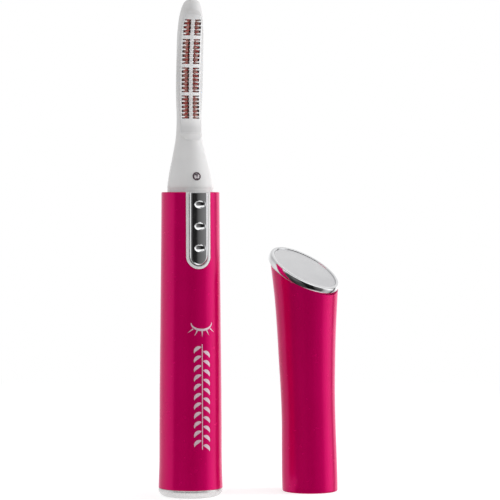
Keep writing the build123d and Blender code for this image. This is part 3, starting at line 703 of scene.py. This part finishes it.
def neck_and_head():
    head = build("neck_and_head", head_shape(), "white_plastic",
                 ["chassis_front", "chassis_rear"], material=WHITE_HEAD, merge=2e-6, angle=38)
    cutter = bpy.data.objects.new("cutter", scaled_mesh("cutter", hollow_shape()))
    bpy.context.scene.collection.objects.link(cutter)
    cut = head.modifiers.new("hollow", "BOOLEAN")
    cut.operation = "DIFFERENCE"
    cut.solver = "EXACT"
    cut.object = cutter
    bpy.context.view_layer.update()
    depsgraph = bpy.context.evaluated_depsgraph_get()
    cut_mesh = bpy.data.meshes.new_from_object(head.evaluated_get(depsgraph))
    head.modifiers.remove(cut)
    head.data = cut_mesh
    bpy.data.objects.remove(cutter)
    round_edges(head, 0.12, angle=38)


# ------------------------------------------------------------------ chassis inside the sleeve
# Section of the ribbed tube: radius, z
TUBE_SECTION = [
    (5.45, 10.35), (8.30, 10.35), (8.30, 11.2), (8.20, 12.4), (6.5, 12.4), (6.5, 30.0),
    (8.30, 30.0), (8.25, 31.4), (6.5, 31.4), (6.5, 49.6), (8.10, 49.6), (8.05, 54.4),
    (7.6, 54.4), (7.6, 70.0), (6.5, 70.0), (6.5, 53.6), (5.6, 53.6), (5.6, 51.9), (5.45, 51.9),
]
# Section of the open-fronted room above it: radius, z
ROOM_SECTION = [(6.5, 70.0), (7.6, 70.0), (7.6, 94.1), (6.5, 94.1)]
ROOM_OPENING = 72       # degrees from the front to each edge of the opening


def chassis():
    rings = [[around(radius, angle, z) for angle in circle(96)] for radius, z in TUBE_SECTION]
    build("chassis_tube", loft(rings, closed=True), "white_plastic", angle=40, bevel=0.1)

    steps = 60
    degrees = spread(ROOM_OPENING, 360 - ROOM_OPENING, steps)
    verts = [around(radius, math.radians(a), z) for radius, z in ROOM_SECTION for a in degrees]
    count = steps + 1
    faces = grid_faces(4, count, True, False)
    faces.append(tuple(row * count for row in (0, 1, 2, 3)))
    faces.append(tuple(row * count + steps for row in (0, 3, 2, 1)))
    build("chassis_room", (verts, faces), "white_plastic", angle=40, bevel=0.1)


# ------------------------------------------------------------------ comb guard
RIB_HALF = 0.55         # half width of the centre rib between the openings
OPENING_HALF = 2.80     # outer edge of the openings
PLATE_HALF = 3.25
PLATE_THICKNESS = 0.32
PLATE_LIFT = 0.02       # the front skin stands this far in front of the face
PLATE_ENDS = [113.35, 114.4, 115.5, 116.4, 117.2, 149.1, 149.7, 150.4]    # rows off the openings
OPEN_COLUMNS = (2, 3, 4, 5, 8, 9, 10, 11)
# Corners of one cell as (row step, column step, 1 for the back skin)
CELL_SKINS = [
    ((0, 0, 0), (0, 1, 0), (1, 1, 0), (1, 0, 0)),
    ((0, 0, 1), (1, 0, 1), (1, 1, 1), (0, 1, 1)),
]
# Walls made where the neighbour in that (row, column) direction is missing
CELL_WALLS = [
    ((0, -1), ((0, 0, 0), (1, 0, 0), (1, 0, 1), (0, 0, 1))),
    ((0, 1), ((0, 1, 0), (0, 1, 1), (1, 1, 1), (1, 1, 0))),
    ((-1, 0), ((0, 0, 0), (0, 0, 1), (0, 1, 1), (0, 1, 0))),
    ((1, 0), ((1, 0, 0), (1, 1, 0), (1, 1, 1), (1, 0, 1))),
]


def guard_plate():
    window_rows = [z for bottom, top in WINDOWS for z in spread(bottom, top, 8)]
    heights = sorted(set(PLATE_ENDS + window_rows))
    verts = []
    for z in heights:
        half = min(PLATE_HALF, max(0.58, face_half(z) - 0.30))
        opening = max(min(OPENING_HALF, half - 0.36), RIB_HALF + 0.02)
        side = [half, (half + opening) / 2] + spread(opening, RIB_HALF, 4)
        across = [-x for x in side] + [0.0] + side[::-1]
        verts += [(x, arc_y(z, SCOOP_R) + x * x / CROWN - PLATE_LIFT, z) for x in across]
        verts += [(x, arc_y(z, SCOOP_R + PLATE_THICKNESS) + x * x / CROWN, z) for x in across]
    rows, columns = len(heights), len(across)

    def in_window(i):
        return any(bottom - 1e-6 <= heights[i] and heights[i + 1] <= top + 1e-6
                   for bottom, top in WINDOWS)

    def solid(i, j):
        if not (0 <= i < rows - 1 and 0 <= j < columns - 1):
            return False
        return not (in_window(i) and j in OPEN_COLUMNS)

    def quad(i, j, corners):
        return tuple((i + di) * 2 * columns + back * columns + j + dj
                     for di, dj, back in corners)

    faces = []
    for i in range(rows - 1):
        for j in range(columns - 1):
            if not solid(i, j):
                continue
            faces += [quad(i, j, corners) for corners in CELL_SKINS]
            faces += [quad(i, j, corners) for (di, dj), corners in CELL_WALLS
                      if not solid(i + di, j + dj)]
    build("comb_guard_plate", (verts, faces), "white_plastic", ["comb_guard"],
          material=WHITE_GUARD, bevel=0.07, angle=50)


# Tooth rings: half size in x, half size in z, distance in front of the face
TOOTH = [
    (0.62, 0.27, -0.35), (0.60, 0.26, 0.0), (0.50, 0.21, 0.35), (0.40, 0.17, 0.7),
    (0.29, 0.13, 1.0), (0.18, 0.09, 1.2), (0.07, 0.05, 1.28),
]
TOOTH_PITCH = 1.2


def tooth(x, z, lean, widen):
    y = arc_y(z, SCOOP_R) + x * x / CROWN
    return loft([[(x + widen * half_x * math.cos(a) + lean * out, y - out,
                   z + half_z * math.sin(a)) for a in circle(12)]
                 for half_x, half_z, out in TOOTH], flip_ends=True)


def comb_teeth():
    teeth = []
    for bottom, top in WINDOWS:
        count = int(round((top - bottom) / TOOTH_PITCH))
        for i in range(count):
            z = bottom + (top - bottom) * (i + 0.5) / count
            edge = min(2.78, face_half(z) - 0.62)
            teeth.append(tooth(edge - 0.50, z, lean=0.0, widen=1.6))
            teeth.append(tooth(0.26 - edge, z, lean=-0.02, widen=1.3))
            teeth.append(tooth(0.05, z, lean=0.0, widen=1.35))
    build("comb_teeth", join(teeth), "white_plastic", material=WHITE_GUARD, angle=50)


# ------------------------------------------------------------------ heaters
HEATERS = (("left", -1.54), ("right", 1.78))    # side as seen from the front, x
WIRE_BOTTOM, WIRE_TOP, WIRE_PITCH = 116.3, 148.6, 1.12
WINDING_R, WIRE_R = 0.95, 0.21
ROD_BOTTOM, ROD_TOP, ROD_R = 115.7, 149.4, 0.84


def heating_wire(side, x):
    """Open-wound wire; the two sides wind in opposite directions."""
    turns = (WIRE_TOP - WIRE_BOTTOM) / WIRE_PITCH
    steps = int(turns * 20)
    direction = 1 if x < 0 else -1
    points = []
    for i, z in enumerate(spread(WIRE_BOTTOM, WIRE_TOP, steps)):
        a = 2 * math.pi * turns * i / steps * direction
        points.append(Vector((x + WINDING_R * math.cos(a),
                              arc_y(z, COIL_R) + WINDING_R * math.sin(a), z)))
    rings = []
    for i, point in enumerate(points):
        along = (points[min(i + 1, steps)] - points[max(i - 1, 0)]).normalized()
        axis = Vector((x, arc_y(point.z, COIL_R), point.z))
        out = (point - axis).normalized()
        out = (out - along * out.dot(along)).normalized()
        beside = along.cross(out)
        rings.append([tuple(point + out * (WIRE_R * math.cos(b)) + beside * (WIRE_R * math.sin(b)))
                      for b in circle(8)])
    build("heating_wire_" + side, loft(rings), "copper_heater", ["heating_coil_" + side],
          angle=60)


def heater_rod(side, x):
    rings = [[(x + ROD_R * math.cos(a), arc_y(z, COIL_R) + ROD_R * math.sin(a), z)
              for a in circle(16)] for z in spread(ROD_BOTTOM, ROD_TOP, 60)]
    build("heater_rod_" + side, loft(rings), "ceramic_core", ["heater_core_" + side], angle=60)


# ------------------------------------------------------------------ indicator
LED_Z = 99.9
# Sections: radius, height over the neck surface
LED_RING = [(1.30, -0.9), (1.30, 0.02), (1.24, 0.11), (1.12, 0.13), (1.02, 0.07), (1.0, -0.1),
            (1.0, -0.9)]
LED_LENS = [(0.97, -1.2), (0.97, -0.02), (0.90, 0.06), (0.72, 0.14), (0.48, 0.19),
            (0.22, 0.215), (0.05, 0.22)]


def neck_front(z):
    return interp(HEAD, z, 3) - interp(HEAD, z, 2)


def indicator_shape(profile, closed):
    """Round part square to the sloping front of the neck."""
    tilt = math.atan2(neck_front(LED_Z + 1) - neck_front(LED_Z - 1), 2.0)
    centre = Vector((0.0, neck_front(LED_Z), LED_Z))
    normal = Vector((0.0, -math.cos(tilt), math.sin(tilt)))
    side = Vector((1, 0, 0))
    up = normal.cross(side).normalized()
    return loft([[tuple(centre + side * (radius * math.cos(a)) + up * (radius * math.sin(a))
                        + normal * height) for a in circle(40)]
                 for radius, height in profile], closed)


def indicator():
    build("indicator_ring", indicator_shape(LED_RING, closed=True), "dark_ring", ["led_ring"],
          angle=60)
    build("indicator_lens", indicator_shape(LED_LENS, closed=False), "clear_lens", ["led_lens"],
          angle=60)


# ------------------------------------------------------------------ switch surround
WALL = 0.435                        # half thickness of the surround wall
SURROUND_HALF = 3.465               # half width to the middle of the wall
SURROUND_CENTRE = 75.1              # z centre of the round lower end
SURROUND_BACK = -7.27
SURROUND_PROUD = 0.13               # how far it stands out of the sleeve
SURROUND_ROUND = 0.16
FLOOR_FRONT = -8.05
FLOOR_HALF = SURROUND_HALF - WALL
FLOOR_TOP = 94.98
SLOT_HALF, SLOT_BOTTOM, SLOT_TOP = 1.1, 79.6, 89.0


def switch_surround():
    path = [(-SURROUND_HALF, z) for z in spread(SLEEVE_TOP, SURROUND_CENTRE, 24)]
    path += [(-SURROUND_HALF * math.cos(math.pi * i / 36),
              SURROUND_CENTRE - SURROUND_HALF * math.sin(math.pi * i / 36)) for i in range(1, 37)]
    path += [(SURROUND_HALF, z) for z in spread(SURROUND_CENTRE, SLEEVE_TOP, 24, first=1)]
    # wall section: offset across the wall, drop below its top (None is the back)
    half_section = [(-WALL, None), (-WALL, SURROUND_ROUND)]
    half_section += [(-WALL + SURROUND_ROUND * (1 - math.cos(a)),
                      SURROUND_ROUND * (1 - math.sin(a))) for a in quarter(4, first=1)]
    section = half_section + [(0.0, 0.0)]
    section += [(-offset, drop) for offset, drop in reversed(half_section)]
    rings = []
    for i, (x, z) in enumerate(path):
        before, after = path[max(i - 1, 0)], path[min(i + 1, len(path) - 1)]
        along = Vector((after[0] - before[0], after[1] - before[1])).normalized()
        normal = Vector((-along.y, along.x))
        ring = []
        for offset, drop in section:
            wall_x, wall_z = x + normal.x * offset, min(SLEEVE_TOP, z + normal.y * offset)
            wall_y = SURROUND_BACK
            if drop is not None:
                radius = sleeve_r(wall_z) + SURROUND_PROUD
                wall_y = -math.sqrt(radius ** 2 - wall_x ** 2) + drop
            ring.append((wall_x, wall_y, wall_z))
        rings.append(ring)
    build("switch_surround", loft(rings, flip_ends=True), "white_plastic", ["switch_bezel"],
          angle=40)


def box_outline(x0, z0, x1, z1):
    return [(x0, z0), (x1, z0), (x1, z1), (x0, z1)]


def surround_floor():
    """Two ends and two cheeks, so that the slot between them stays open."""
    round_end = [(-FLOOR_HALF * math.cos(math.pi * i / 24),
                  SURROUND_CENTRE - FLOOR_HALF * math.sin(math.pi * i / 24)) for i in range(25)]
    outlines = [
        [(-FLOOR_HALF, SLOT_BOTTOM)] + round_end + [(FLOOR_HALF, SLOT_BOTTOM)],
        box_outline(-FLOOR_HALF, SLOT_BOTTOM, -SLOT_HALF, SLOT_TOP),
        box_outline(SLOT_HALF, SLOT_BOTTOM, FLOOR_HALF, SLOT_TOP),
        box_outline(-FLOOR_HALF, SLOT_TOP, FLOOR_HALF, FLOOR_TOP),
    ]
    build("switch_surround_floor",
          join([slab(outline, FLOOR_FRONT, SURROUND_BACK) for outline in outlines]),
          "white_plastic", angle=30, merge=1e-9)


# ------------------------------------------------------------------ chrome slide
SLIDE_HALF, SLIDE_BOTTOM, SLIDE_TOP = 2.93, 72.32, 94.9
SLIDE_CENTRE = SLIDE_BOTTOM + SLIDE_HALF        # z centre of the round lower end
SLIDE_FRONT, SLIDE_BACK = -9.95, -8.12
SLIDE_CORNER = 0.4
SLIDE_BEVEL = 0.58
SLIDE_CROWN = 19.0
SLIDE_COLUMNS = 49
DIMPLES = (77.7, 84.45, 91.2)
DIMPLE_HALF_X, DIMPLE_HALF_Z, DIMPLE_DEPTH = 1.62, 1.16, 0.50
RIM_HEIGHT, RIM_PLACE, RIM_WIDTH = 0.045, 1.06, 0.07    # raised lip; last two in dimple radii


def slide_half(z):
    corner_start = SLIDE_TOP - SLIDE_CORNER
    if z < SLIDE_CENTRE:
        return math.sqrt(max(0.0, SLIDE_HALF ** 2 - (SLIDE_CENTRE - z) ** 2))
    if z > corner_start:
        return SLIDE_HALF - SLIDE_CORNER + math.sqrt(
            max(0.0, SLIDE_CORNER ** 2 - (z - corner_start) ** 2))
    return SLIDE_HALF


def slide_edge(x, z):
    """Distance in from the outline; it grows faster near the flat top end."""
    x = abs(x)
    if z < SLIDE_CENTRE:
        return SLIDE_HALF - math.hypot(x, SLIDE_CENTRE - z)
    return min(SLIDE_HALF - x, (SLIDE_TOP - z) * 3.2 + 0.05)


def slide_y(x, z):
    distance = slide_edge(x, z)
    drop = 0.0
    if distance < SLIDE_BEVEL:
        share = 1 - distance / SLIDE_BEVEL
        drop = 0.52 * share ** 1.25 + 0.10 * max(0.0, share - 0.8) * 5
    y = SLIDE_FRONT + drop + x * x / SLIDE_CROWN
    for dimple_z in DIMPLES:
        q = (x / DIMPLE_HALF_X) ** 2 + ((z - dimple_z) / DIMPLE_HALF_Z) ** 2
        if q < 1.45:
            if q < 1:
                y += DIMPLE_DEPTH * (1 - q) ** 0.8
            y -= RIM_HEIGHT * math.exp(-((math.sqrt(q) - RIM_PLACE) / RIM_WIDTH) ** 2)
    return y


def slide_plate():
    corner_start = SLIDE_TOP - SLIDE_CORNER
    heights = [SLIDE_BOTTOM + SLIDE_HALF * (1 - math.cos(a)) for a in quarter(26)]
    heights += spread(SLIDE_CENTRE, corner_start, 170, first=1)
    heights += [corner_start + SLIDE_CORNER * math.sin(a) for a in quarter(12, first=1)]
    # columns crowd a little toward both edges
    shares = [math.sin(u * math.pi / 2) * 0.35 + u * 0.65
              for u in spread(-1, 1, SLIDE_COLUMNS - 1)]
    flat = [(share * slide_half(z), z) for z in heights for share in shares]
    verts = [(x, slide_y(x, z), z) for x, z in flat]
    verts += [(x, SLIDE_BACK, z) for x, z in flat]
    rows, columns, back = len(heights), SLIDE_COLUMNS, len(flat)
    faces = grid_faces(rows, columns)
    faces += [face[::-1] for face in grid_faces(rows, columns, base=back)]
    for i in range(rows - 1):
        left, left_next = i * columns, (i + 1) * columns
        right, right_next = left + columns - 1, left_next + columns - 1
        faces.append((left, left_next, back + left_next, back + left))
        faces.append((right, back + right, back + right_next, right_next))
    top = (rows - 1) * columns
    for j in range(columns - 1):
        faces.append((j, back + j, back + j + 1, j + 1))
        faces.append((top + j, top + j + 1, back + top + j + 1, back + top + j))
    build("slide_plate_chrome", (verts, faces), "bright_chrome", ["switch_slider"],
          body="slider", merge=2e-6, angle=48)


# ------------------------------------------------------------------ cap
CAP_X = 39.7
FALL = (0.495, -0.869)      # x, y direction in which the top slopes down
TILT = math.radians(31.0)
# Cap wall: z, radius, shift of the centre against FALL
CAP_ROWS = [
    (0.5, 8.80, 0.02), (1.6, 8.82, 0.05), (13.0, 8.74, 0.35), (22.5, 8.58, 0.60),
    (32.1, 8.66, 0.95), (41.6, 9.00, 1.28), (51.2, 9.40, 1.50), (60.7, 9.98, 1.68),
    (67.0, 10.48, 1.92), (73.0, 11.02, 2.22), (81.0, 11.80, 2.70),
]
CAP_THICKNESS = 1.2
CAP_LIP = [(8.55, 0.0), (8.70, 0.12), (8.79, 0.42)]     # outer rounding: radius, z
CAP_MOUTH = [(7.9, 8.3), (7.9, 0.25), (8.1, 0.0)]       # inner opening: radius, z
CAP_WALL_STEPS = 48
# Slanted top plane: centre, and directions down the slope, out of it and across it
TOP = Vector((CAP_X - FALL[0] * 2.1, -FALL[1] * 2.1, 71.0))
SLOPE = Vector((FALL[0] * math.cos(TILT), FALL[1] * math.cos(TILT), -math.sin(TILT)))
NORMAL = Vector((FALL[0] * math.sin(TILT), FALL[1] * math.sin(TILT), math.cos(TILT)))
ACROSS = NORMAL.cross(SLOPE).normalized()
TOP_HALF_LENGTH, TOP_HALF_WIDTH = 12.75, 10.95


def cap_point(theta, z, inset=0.0):
    radius = interp(CAP_ROWS, z, 1) - inset
    lean = interp(CAP_ROWS, z, 2)
    return Vector((CAP_X - FALL[0] * lean + radius * math.sin(theta),
                   -FALL[1] * lean - radius * math.cos(theta), z))


def plane_height(theta, drop, inset=0.0):
    """Height where the wall meets the plane lying `drop` under the top plane."""
    return bisect(40.0, 81.0,
                  lambda z: (cap_point(theta, z, inset) - TOP).dot(NORMAL) < -drop)


def cap_column(theta):
    """Wall section at one angle: up the outside, over the top, down the inside."""
    outer_top = plane_height(theta, drop=1.9)
    inner_top = plane_height(theta, drop=3.6, inset=CAP_THICKNESS)
    column = [around(radius, theta, z, CAP_X) for radius, z in CAP_LIP]
    column += [tuple(cap_point(theta, z)) for z in spread(0.9, outer_top, CAP_WALL_STEPS)]
    column.append(tuple(cap_point(theta, outer_top, 1.6)))
    column += [tuple(cap_point(theta, z, CAP_THICKNESS)) for z in spread(inner_top, 9.0, 24)]
    column += [around(radius, theta, z, CAP_X) for radius, z in CAP_MOUTH]
    return column


def cap_body():
    columns = [cap_column(theta) for theta in circle(144)]
    count, size = len(columns), len(columns[0])
    top = len(CAP_LIP) + CAP_WALL_STEPS + 1
    faces = []
    for j in range(count):
        here, beside = j * size, (j + 1) % count * size
        for k in range(size):
            if k == top:
                continue
            next_k = (k + 1) % size
            faces.append((here + k, beside + k, beside + next_k, here + next_k))
    # closing faces over the outside and over the inside
    faces.append(tuple(j * size + top for j in range(count)))
    faces.append(tuple(j * size + top + 1 for j in reversed(range(count))))
    verts = [point for column in columns for point in column]
    build("cap_body_lacquered", (verts, faces), "magenta_lacquer", ["cap_shell"],
          body="cap", angle=40)


def top_shape(profile, closed):
    """Oval part on the slanted top. Profile: inset from the edge, height over the top plane."""
    return loft([[tuple(TOP + SLOPE * ((TOP_HALF_LENGTH - inset) * math.cos(a))
                        + ACROSS * ((TOP_HALF_WIDTH - inset) * math.sin(a)) + NORMAL * height)
                  for a in circle(160)] for inset, height in profile], closed)


def cap_trim():
    profile = [(0.22, -2.35)]
    profile += [(0.14 - 0.24 * math.sin(math.pi * k / 16), -1.30 - 0.95 * math.cos(math.pi * k / 16))
                for k in range(14)]
    profile += [(0.08 + 0.42 * (1 - math.cos(a)), -0.42 + 0.42 * math.sin(a))
                for a in quarter(9, first=1)]
    profile += [(0.8, 0.015), (1.08, 0.0), (1.2, -0.05), (1.25, -0.14), (1.25, -1.5),
                (0.9, -2.30)]
    build("cap_trim_chrome", top_shape(profile, closed=True), "bright_chrome",
          ["cap_trim_ring"], body="cap", angle=40)


def cap_disc():
    profile = [(1.30, -1.35), (1.30, -0.42), (1.36, -0.30), (1.50, -0.25), (1.72, -0.24),
               (1.86, -0.265), (2.1, -0.27)]
    profile += [(2.1 + 8.5 * k / 14, -0.27 + 0.10 * math.sin(math.pi / 2 * k / 14))
                for k in range(1, 15)]
    build("cap_disc_satin", top_shape(profile, closed=False), "satin_silver", ["cap_disc"],
          body="cap", material=satin_silver("satin_silver_21", stretch=(1, 1, 0.12)), angle=40)


# ------------------------------------------------------------------ ornament on the handle
# Points are (s, z), where s is the arc length round the sleeve from the front, toward +X.
ORNAMENT_S = 0.9
EYE_Z = 54.6
EYE_HALF, EYE_HEIGHT = 3.5, 2.2
LASH = 1.7
# Stroke heights over the sleeve: at the foot of its sides, at its shoulders, on its ridge
STROKE_FOOT, STROKE_SHOULDER, STROKE_RIDGE = -0.03, 0.028, 0.042


def on_handle(s, z, lift):
    return around(sleeve_r(z) + lift, s / sleeve_r(z), z)


def stroke(centre, half_widths):
    """Thin raised stroke along the centre points."""
    rings = []
    for i, (s, z) in enumerate(centre):
        before, after = centre[max(i - 1, 0)], centre[min(i + 1, len(centre) - 1)]
        along = Vector((after[0] - before[0], after[1] - before[1])).normalized()
        normal = Vector((-along.y, along.x))
        half = max(half_widths[i], 0.012)
        section = ((-half, STROKE_FOOT), (-half, STROKE_SHOULDER), (0.0, STROKE_RIDGE),
                   (half, STROKE_SHOULDER), (half, STROKE_FOOT))
        rings.append([on_handle(s + normal.x * offset, z + normal.y * offset, lift)
                      for offset, lift in section])
    return loft(rings, flip_ends=True)


def eyelid():
    angles = [math.pi + math.pi * (i / 28) for i in range(29)]
    return stroke([(ORNAMENT_S + EYE_HALF * math.cos(a), EYE_Z + EYE_HEIGHT * math.sin(a))
                   for a in angles],
                  [0.10 + 0.26 * math.sin(math.pi * i / 28) for i in range(29)])


def lash(number):
    """Tapering lash under the eyelid; number 0 points straight down."""
    a = -math.pi / 2 + number * 0.42
    start_s = ORNAMENT_S + EYE_HALF * math.cos(a) + math.cos(a) * 0.4
    start_z = EYE_Z + EYE_HEIGHT * math.sin(a) - 0.35
    return stroke([(start_s + math.cos(a) * LASH * i / 8 + 0.15 * number * (i / 8) ** 2,
                    start_z + math.sin(a) * LASH * i / 8) for i in range(9)],
                  [0.20 * (1 - i / 8) + 0.03 for i in range(9)])


def petal(number, side):
    """Curved petal off the stem; those on the +X side sit half a pitch lower."""
    pitch = 2.9
    z = 46.6 - number * pitch - (0.0 if side < 0 else pitch / 2) + 0.5
    return stroke([(ORNAMENT_S + side * (0.30 + 2.25 * math.sin(a)), z - 1.9 * (1 - math.cos(a)))
                   for a in quarter(14)],
                  [0.03 + 0.52 * math.sin(math.pi * min(1.0, (i / 14) ** 0.8))
                   for i in range(15)])


def handle_ornament():
    """An eyelid arc with lashes over a stem with petals."""
    strokes = [eyelid()]
    strokes += [lash(number) for number in range(-2, 3)]
    strokes += [petal(number, side) for number in range(11) for side in (-1, 1)]
    strokes.append(stroke([(ORNAMENT_S, z) for z in spread(48.0, 15.4, 40)], [0.13] * 41))
    build("handle_ornament", join(strokes), "satin_silver", material=ornament_silver(),
          angle=60)


# ------------------------------------------------------------------ shading of the CAD nodes
def smooth_cad_nodes():
    for obj in frame["nodes"].values():
        if obj.hide_render:
            continue
        for poly in obj.data.polygons:
            poly.use_smooth = True
        obj.modifiers.new("normals", "WEIGHTED_NORMAL").keep_sharp = True
        obj.data.set_sharp_from_angle(angle=math.radians(32))


# ------------------------------------------------------------------ floor
def floor_material():
    """Grey paper that fades to plain white away from the origin."""
    material = bpy.data.materials.new("floor_paper")
    material.use_nodes = True
    tree = material.node_tree
    paper = tree.nodes["Principled BSDF"]
    for key, value in {"Base Color": (0.55, 0.55, 0.55, 1), "Roughness": 0.75,
                       "Emission Color": (1, 1, 1, 1), "Emission Strength": 0.64}.items():
        paper.inputs[key].default_value = value
    place = add_node(tree, "NewGeometry").outputs["Position"]
    distance = add_node(tree, "VectorMath", {0: place}, operation="LENGTH").outputs["Value"]
    fade = add_node(tree, "MapRange", {"Value": distance, "From Min": 0.10, "From Max": 0.45})
    rays = add_node(tree, "LightPath").outputs
    # the white is full for the camera and halved for other rays
    strength = add_node(tree, "MapRange", {"Value": rays["Is Camera Ray"],
                                           "To Min": 0.50, "To Max": 1.0})
    white = add_node(tree, "Emission", {"Color": (1, 1, 1, 1),
                                        "Strength": strength.outputs["Result"]})
    visible = add_node(tree, "MixShader", {"Fac": fade.outputs["Result"],
                                           1: paper.outputs["BSDF"],
                                           2: white.outputs["Emission"]})
    # reflections see the floor only close to the origin
    far = add_node(tree, "MapRange", {"Value": distance, "From Min": 0.013, "From Max": 0.020})
    hidden = add_math(tree, "MULTIPLY", rays["Is Glossy Ray"], far.outputs["Result"])
    clear = add_node(tree, "BsdfTransparent").outputs["BSDF"]
    surface = add_node(tree, "MixShader", {"Fac": hidden, 1: visible.outputs["Shader"], 2: clear})
    tree.links.new(surface.outputs["Shader"], tree.nodes["Material Output"].inputs["Surface"])
    return material


def add_floor():
    bpy.ops.mesh.primitive_grid_add(x_subdivisions=8, y_subdivisions=8, size=8.0,
                                    location=(0, 0, 0))
    floor = bpy.context.object
    floor.name = "floor"
    floor.data.materials.append(floor_material())


# ------------------------------------------------------------------ world
AZIMUTH = math.radians(-18.3)       # of the camera, from -Y toward +X
FULL_TURN = 2 * math.pi
# Brightness round the horizon: degrees from the camera's direction toward its right, value
HORIZON = [
    (-180, 1.2), (-150, 0.95), (-128, 0.74), (-104, 0.86), (-84, 0.86), (-68, 0.78),
    (-62, 0.05), (-48, 0.06), (-38, 0.13), (-14, 0.10), (-6, 0.015), (23, 0.015), (30, 0.10),
    (40, 0.15), (60, 0.24), (69, 0.95), (90, 1.45), (112, 1.1), (118, 0.06), (125, 0.10),
    (131, 1.3), (180, 1.2),
]
# Factor on the horizon: height from 0 (straight down) to 1 (straight up), value
LEVEL = [(0.0, 0.6), (0.30, 0.6), (0.42, 1.5), (0.60, 1.5), (0.80, 0.98), (1.0, 0.98)]
# Added bands above and below, by the same height, and their reach round the camera
BAND_HEIGHT = [(0.0, 0.9), (0.05, 0.9), (0.12, 0.0), (0.68, 0.0), (0.76, 1.0), (0.93, 1.0),
               (0.97, 0.0)]
BAND_ANGLE = [(-180, 0.0), (-70, 0.0), (-55, 1.2), (75, 1.2), (90, 0.0)]


def grey_ramp(tree, fac, stops, top):
    """Ramp of grey values, stored divided by `top`."""
    return add_ramp(tree, fac, [(position, (value / top,) * 3) for position, value in stops])


def value_ramp(tree, fac, stops, top):
    return add_math(tree, "MULTIPLY", grey_ramp(tree, fac, stops, top), top)


def by_turn(stops):
    """Stops in degrees, changed to shares of a turn."""
    return [(0.5 + degrees / 360, value) for degrees, value in stops]


def add_world():
    world = bpy.data.worlds.new("studio")
    bpy.context.scene.world = world
    world.use_nodes = True
    tree = world.node_tree
    tree.nodes.clear()
    output = add_node(tree, "OutputWorld")
    white = (1, 1, 1, 1)
    seen = add_node(tree, "Background", {"Color": white, "Strength": 1.0})
    direction = add_node(tree, "TexCoord").outputs["Generated"]
    axes = add_node(tree, "SeparateXYZ", {0: direction}).outputs
    angle = add_math(tree, "ARCTAN2", axes["X"], add_math(tree, "MULTIPLY", axes["Y"], -1.0))
    turn = add_math(tree, "MULTIPLY_ADD", angle, 1 / FULL_TURN, 0.5 - AZIMUTH / FULL_TURN)
    turn = add_math(tree, "FRACT", turn)
    horizon = grey_ramp(tree, turn, by_turn(HORIZON), top=1.5)
    height = add_node(tree, "MapRange", {"Value": axes["Z"], "From Min": -1.0,
                                         "From Max": 1.0}).outputs["Result"]
    level = value_ramp(tree, height, LEVEL, top=1.5)
    band_height = value_ramp(tree, height, BAND_HEIGHT, top=1.0)
    band_angle = value_ramp(tree, turn, by_turn(BAND_ANGLE), top=1.2)
    band = add_math(tree, "MULTIPLY", band_height, band_angle)
    strength = add_math(tree, "MULTIPLY_ADD", horizon, level, band)
    studio = add_node(tree, "Background", {"Color": white, "Strength": strength})
    rays = add_node(tree, "LightPath").outputs
    fill = add_node(tree, "Background", {"Color": white, "Strength": 0.50})
    # even fill for diffuse rays, plain white for the camera, the studio for the rest
    lit = add_node(tree, "MixShader", {"Fac": rays["Is Diffuse Ray"], 1: studio.outputs[0],
                                       2: fill.outputs[0]})
    surface = add_node(tree, "MixShader", {"Fac": rays["Is Camera Ray"], 1: lit.outputs[0],
                                           2: seen.outputs[0]})
    tree.links.new(surface.outputs[0], output.inputs["Surface"])


# ------------------------------------------------------------------ lights and camera
def aim(obj, target):
    obj.rotation_euler = (target - obj.location).to_track_quat("-Z", "Y").to_euler()


def area_light(name, location, target, width, height, energy):
    light = bpy.data.lights.new(name, "AREA")
    light.energy = energy
    light.shape = "RECTANGLE"
    light.size = width
    light.size_y = height
    obj = bpy.data.objects.new(name, light)
    bpy.context.scene.collection.objects.link(obj)
    obj.location = location
    aim(obj, Vector(target))
    obj.visible_glossy = False


def add_lights():
    area_light("top_soft", location=(0.05, -0.1, 0.75), target=(0.02, 0, 0.05),
               width=0.9, height=0.9, energy=1.1)
    area_light("right_soft", location=(0.70, -0.12, 0.25), target=(0.02, 0, 0.08),
               width=0.30, height=0.6, energy=3.9)
    area_light("left_soft", location=(-0.68, -0.12, 0.25), target=(0.0, 0, 0.08),
               width=0.30, height=0.6, energy=0.55)


def add_camera():
    side_shift, distance = 0.0186, 0.737
    camera_z, target_z = 0.095, 0.0769
    camera = bpy.data.cameras.new("camera")
    obj = bpy.data.objects.new("camera", camera)
    bpy.context.scene.collection.objects.link(obj)
    right = Vector((math.cos(AZIMUTH), math.sin(AZIMUTH), 0))
    toward_camera = Vector((math.sin(AZIMUTH), -math.cos(AZIMUTH), 0))
    obj.location = right * side_shift + toward_camera * distance + Vector((0, 0, camera_z))
    aim(obj, right * side_shift + Vector((0, 0, target_z)))
    camera.sensor_width = 36.0
    camera.lens = 169.9
    camera.clip_start = 0.01
    camera.clip_end = 50.0
    bpy.context.scene.camera = obj
    bpy.context.scene.view_settings.view_transform = "Standard"


# ------------------------------------------------------------------ build
paint_cad_nodes()
sleeve()
end_cap()
neck_and_head()
chassis()
guard_plate()
comb_teeth()
for side, x in HEATERS:
    heating_wire(side, x)
for side, x in HEATERS:
    heater_rod(side, x)
indicator()
switch_surround()
surround_floor()
slide_plate()
cap_body()
cap_trim()
cap_disc()
handle_ornament()
smooth_cad_nodes()
add_floor()
add_world()
add_lights()
add_camera()
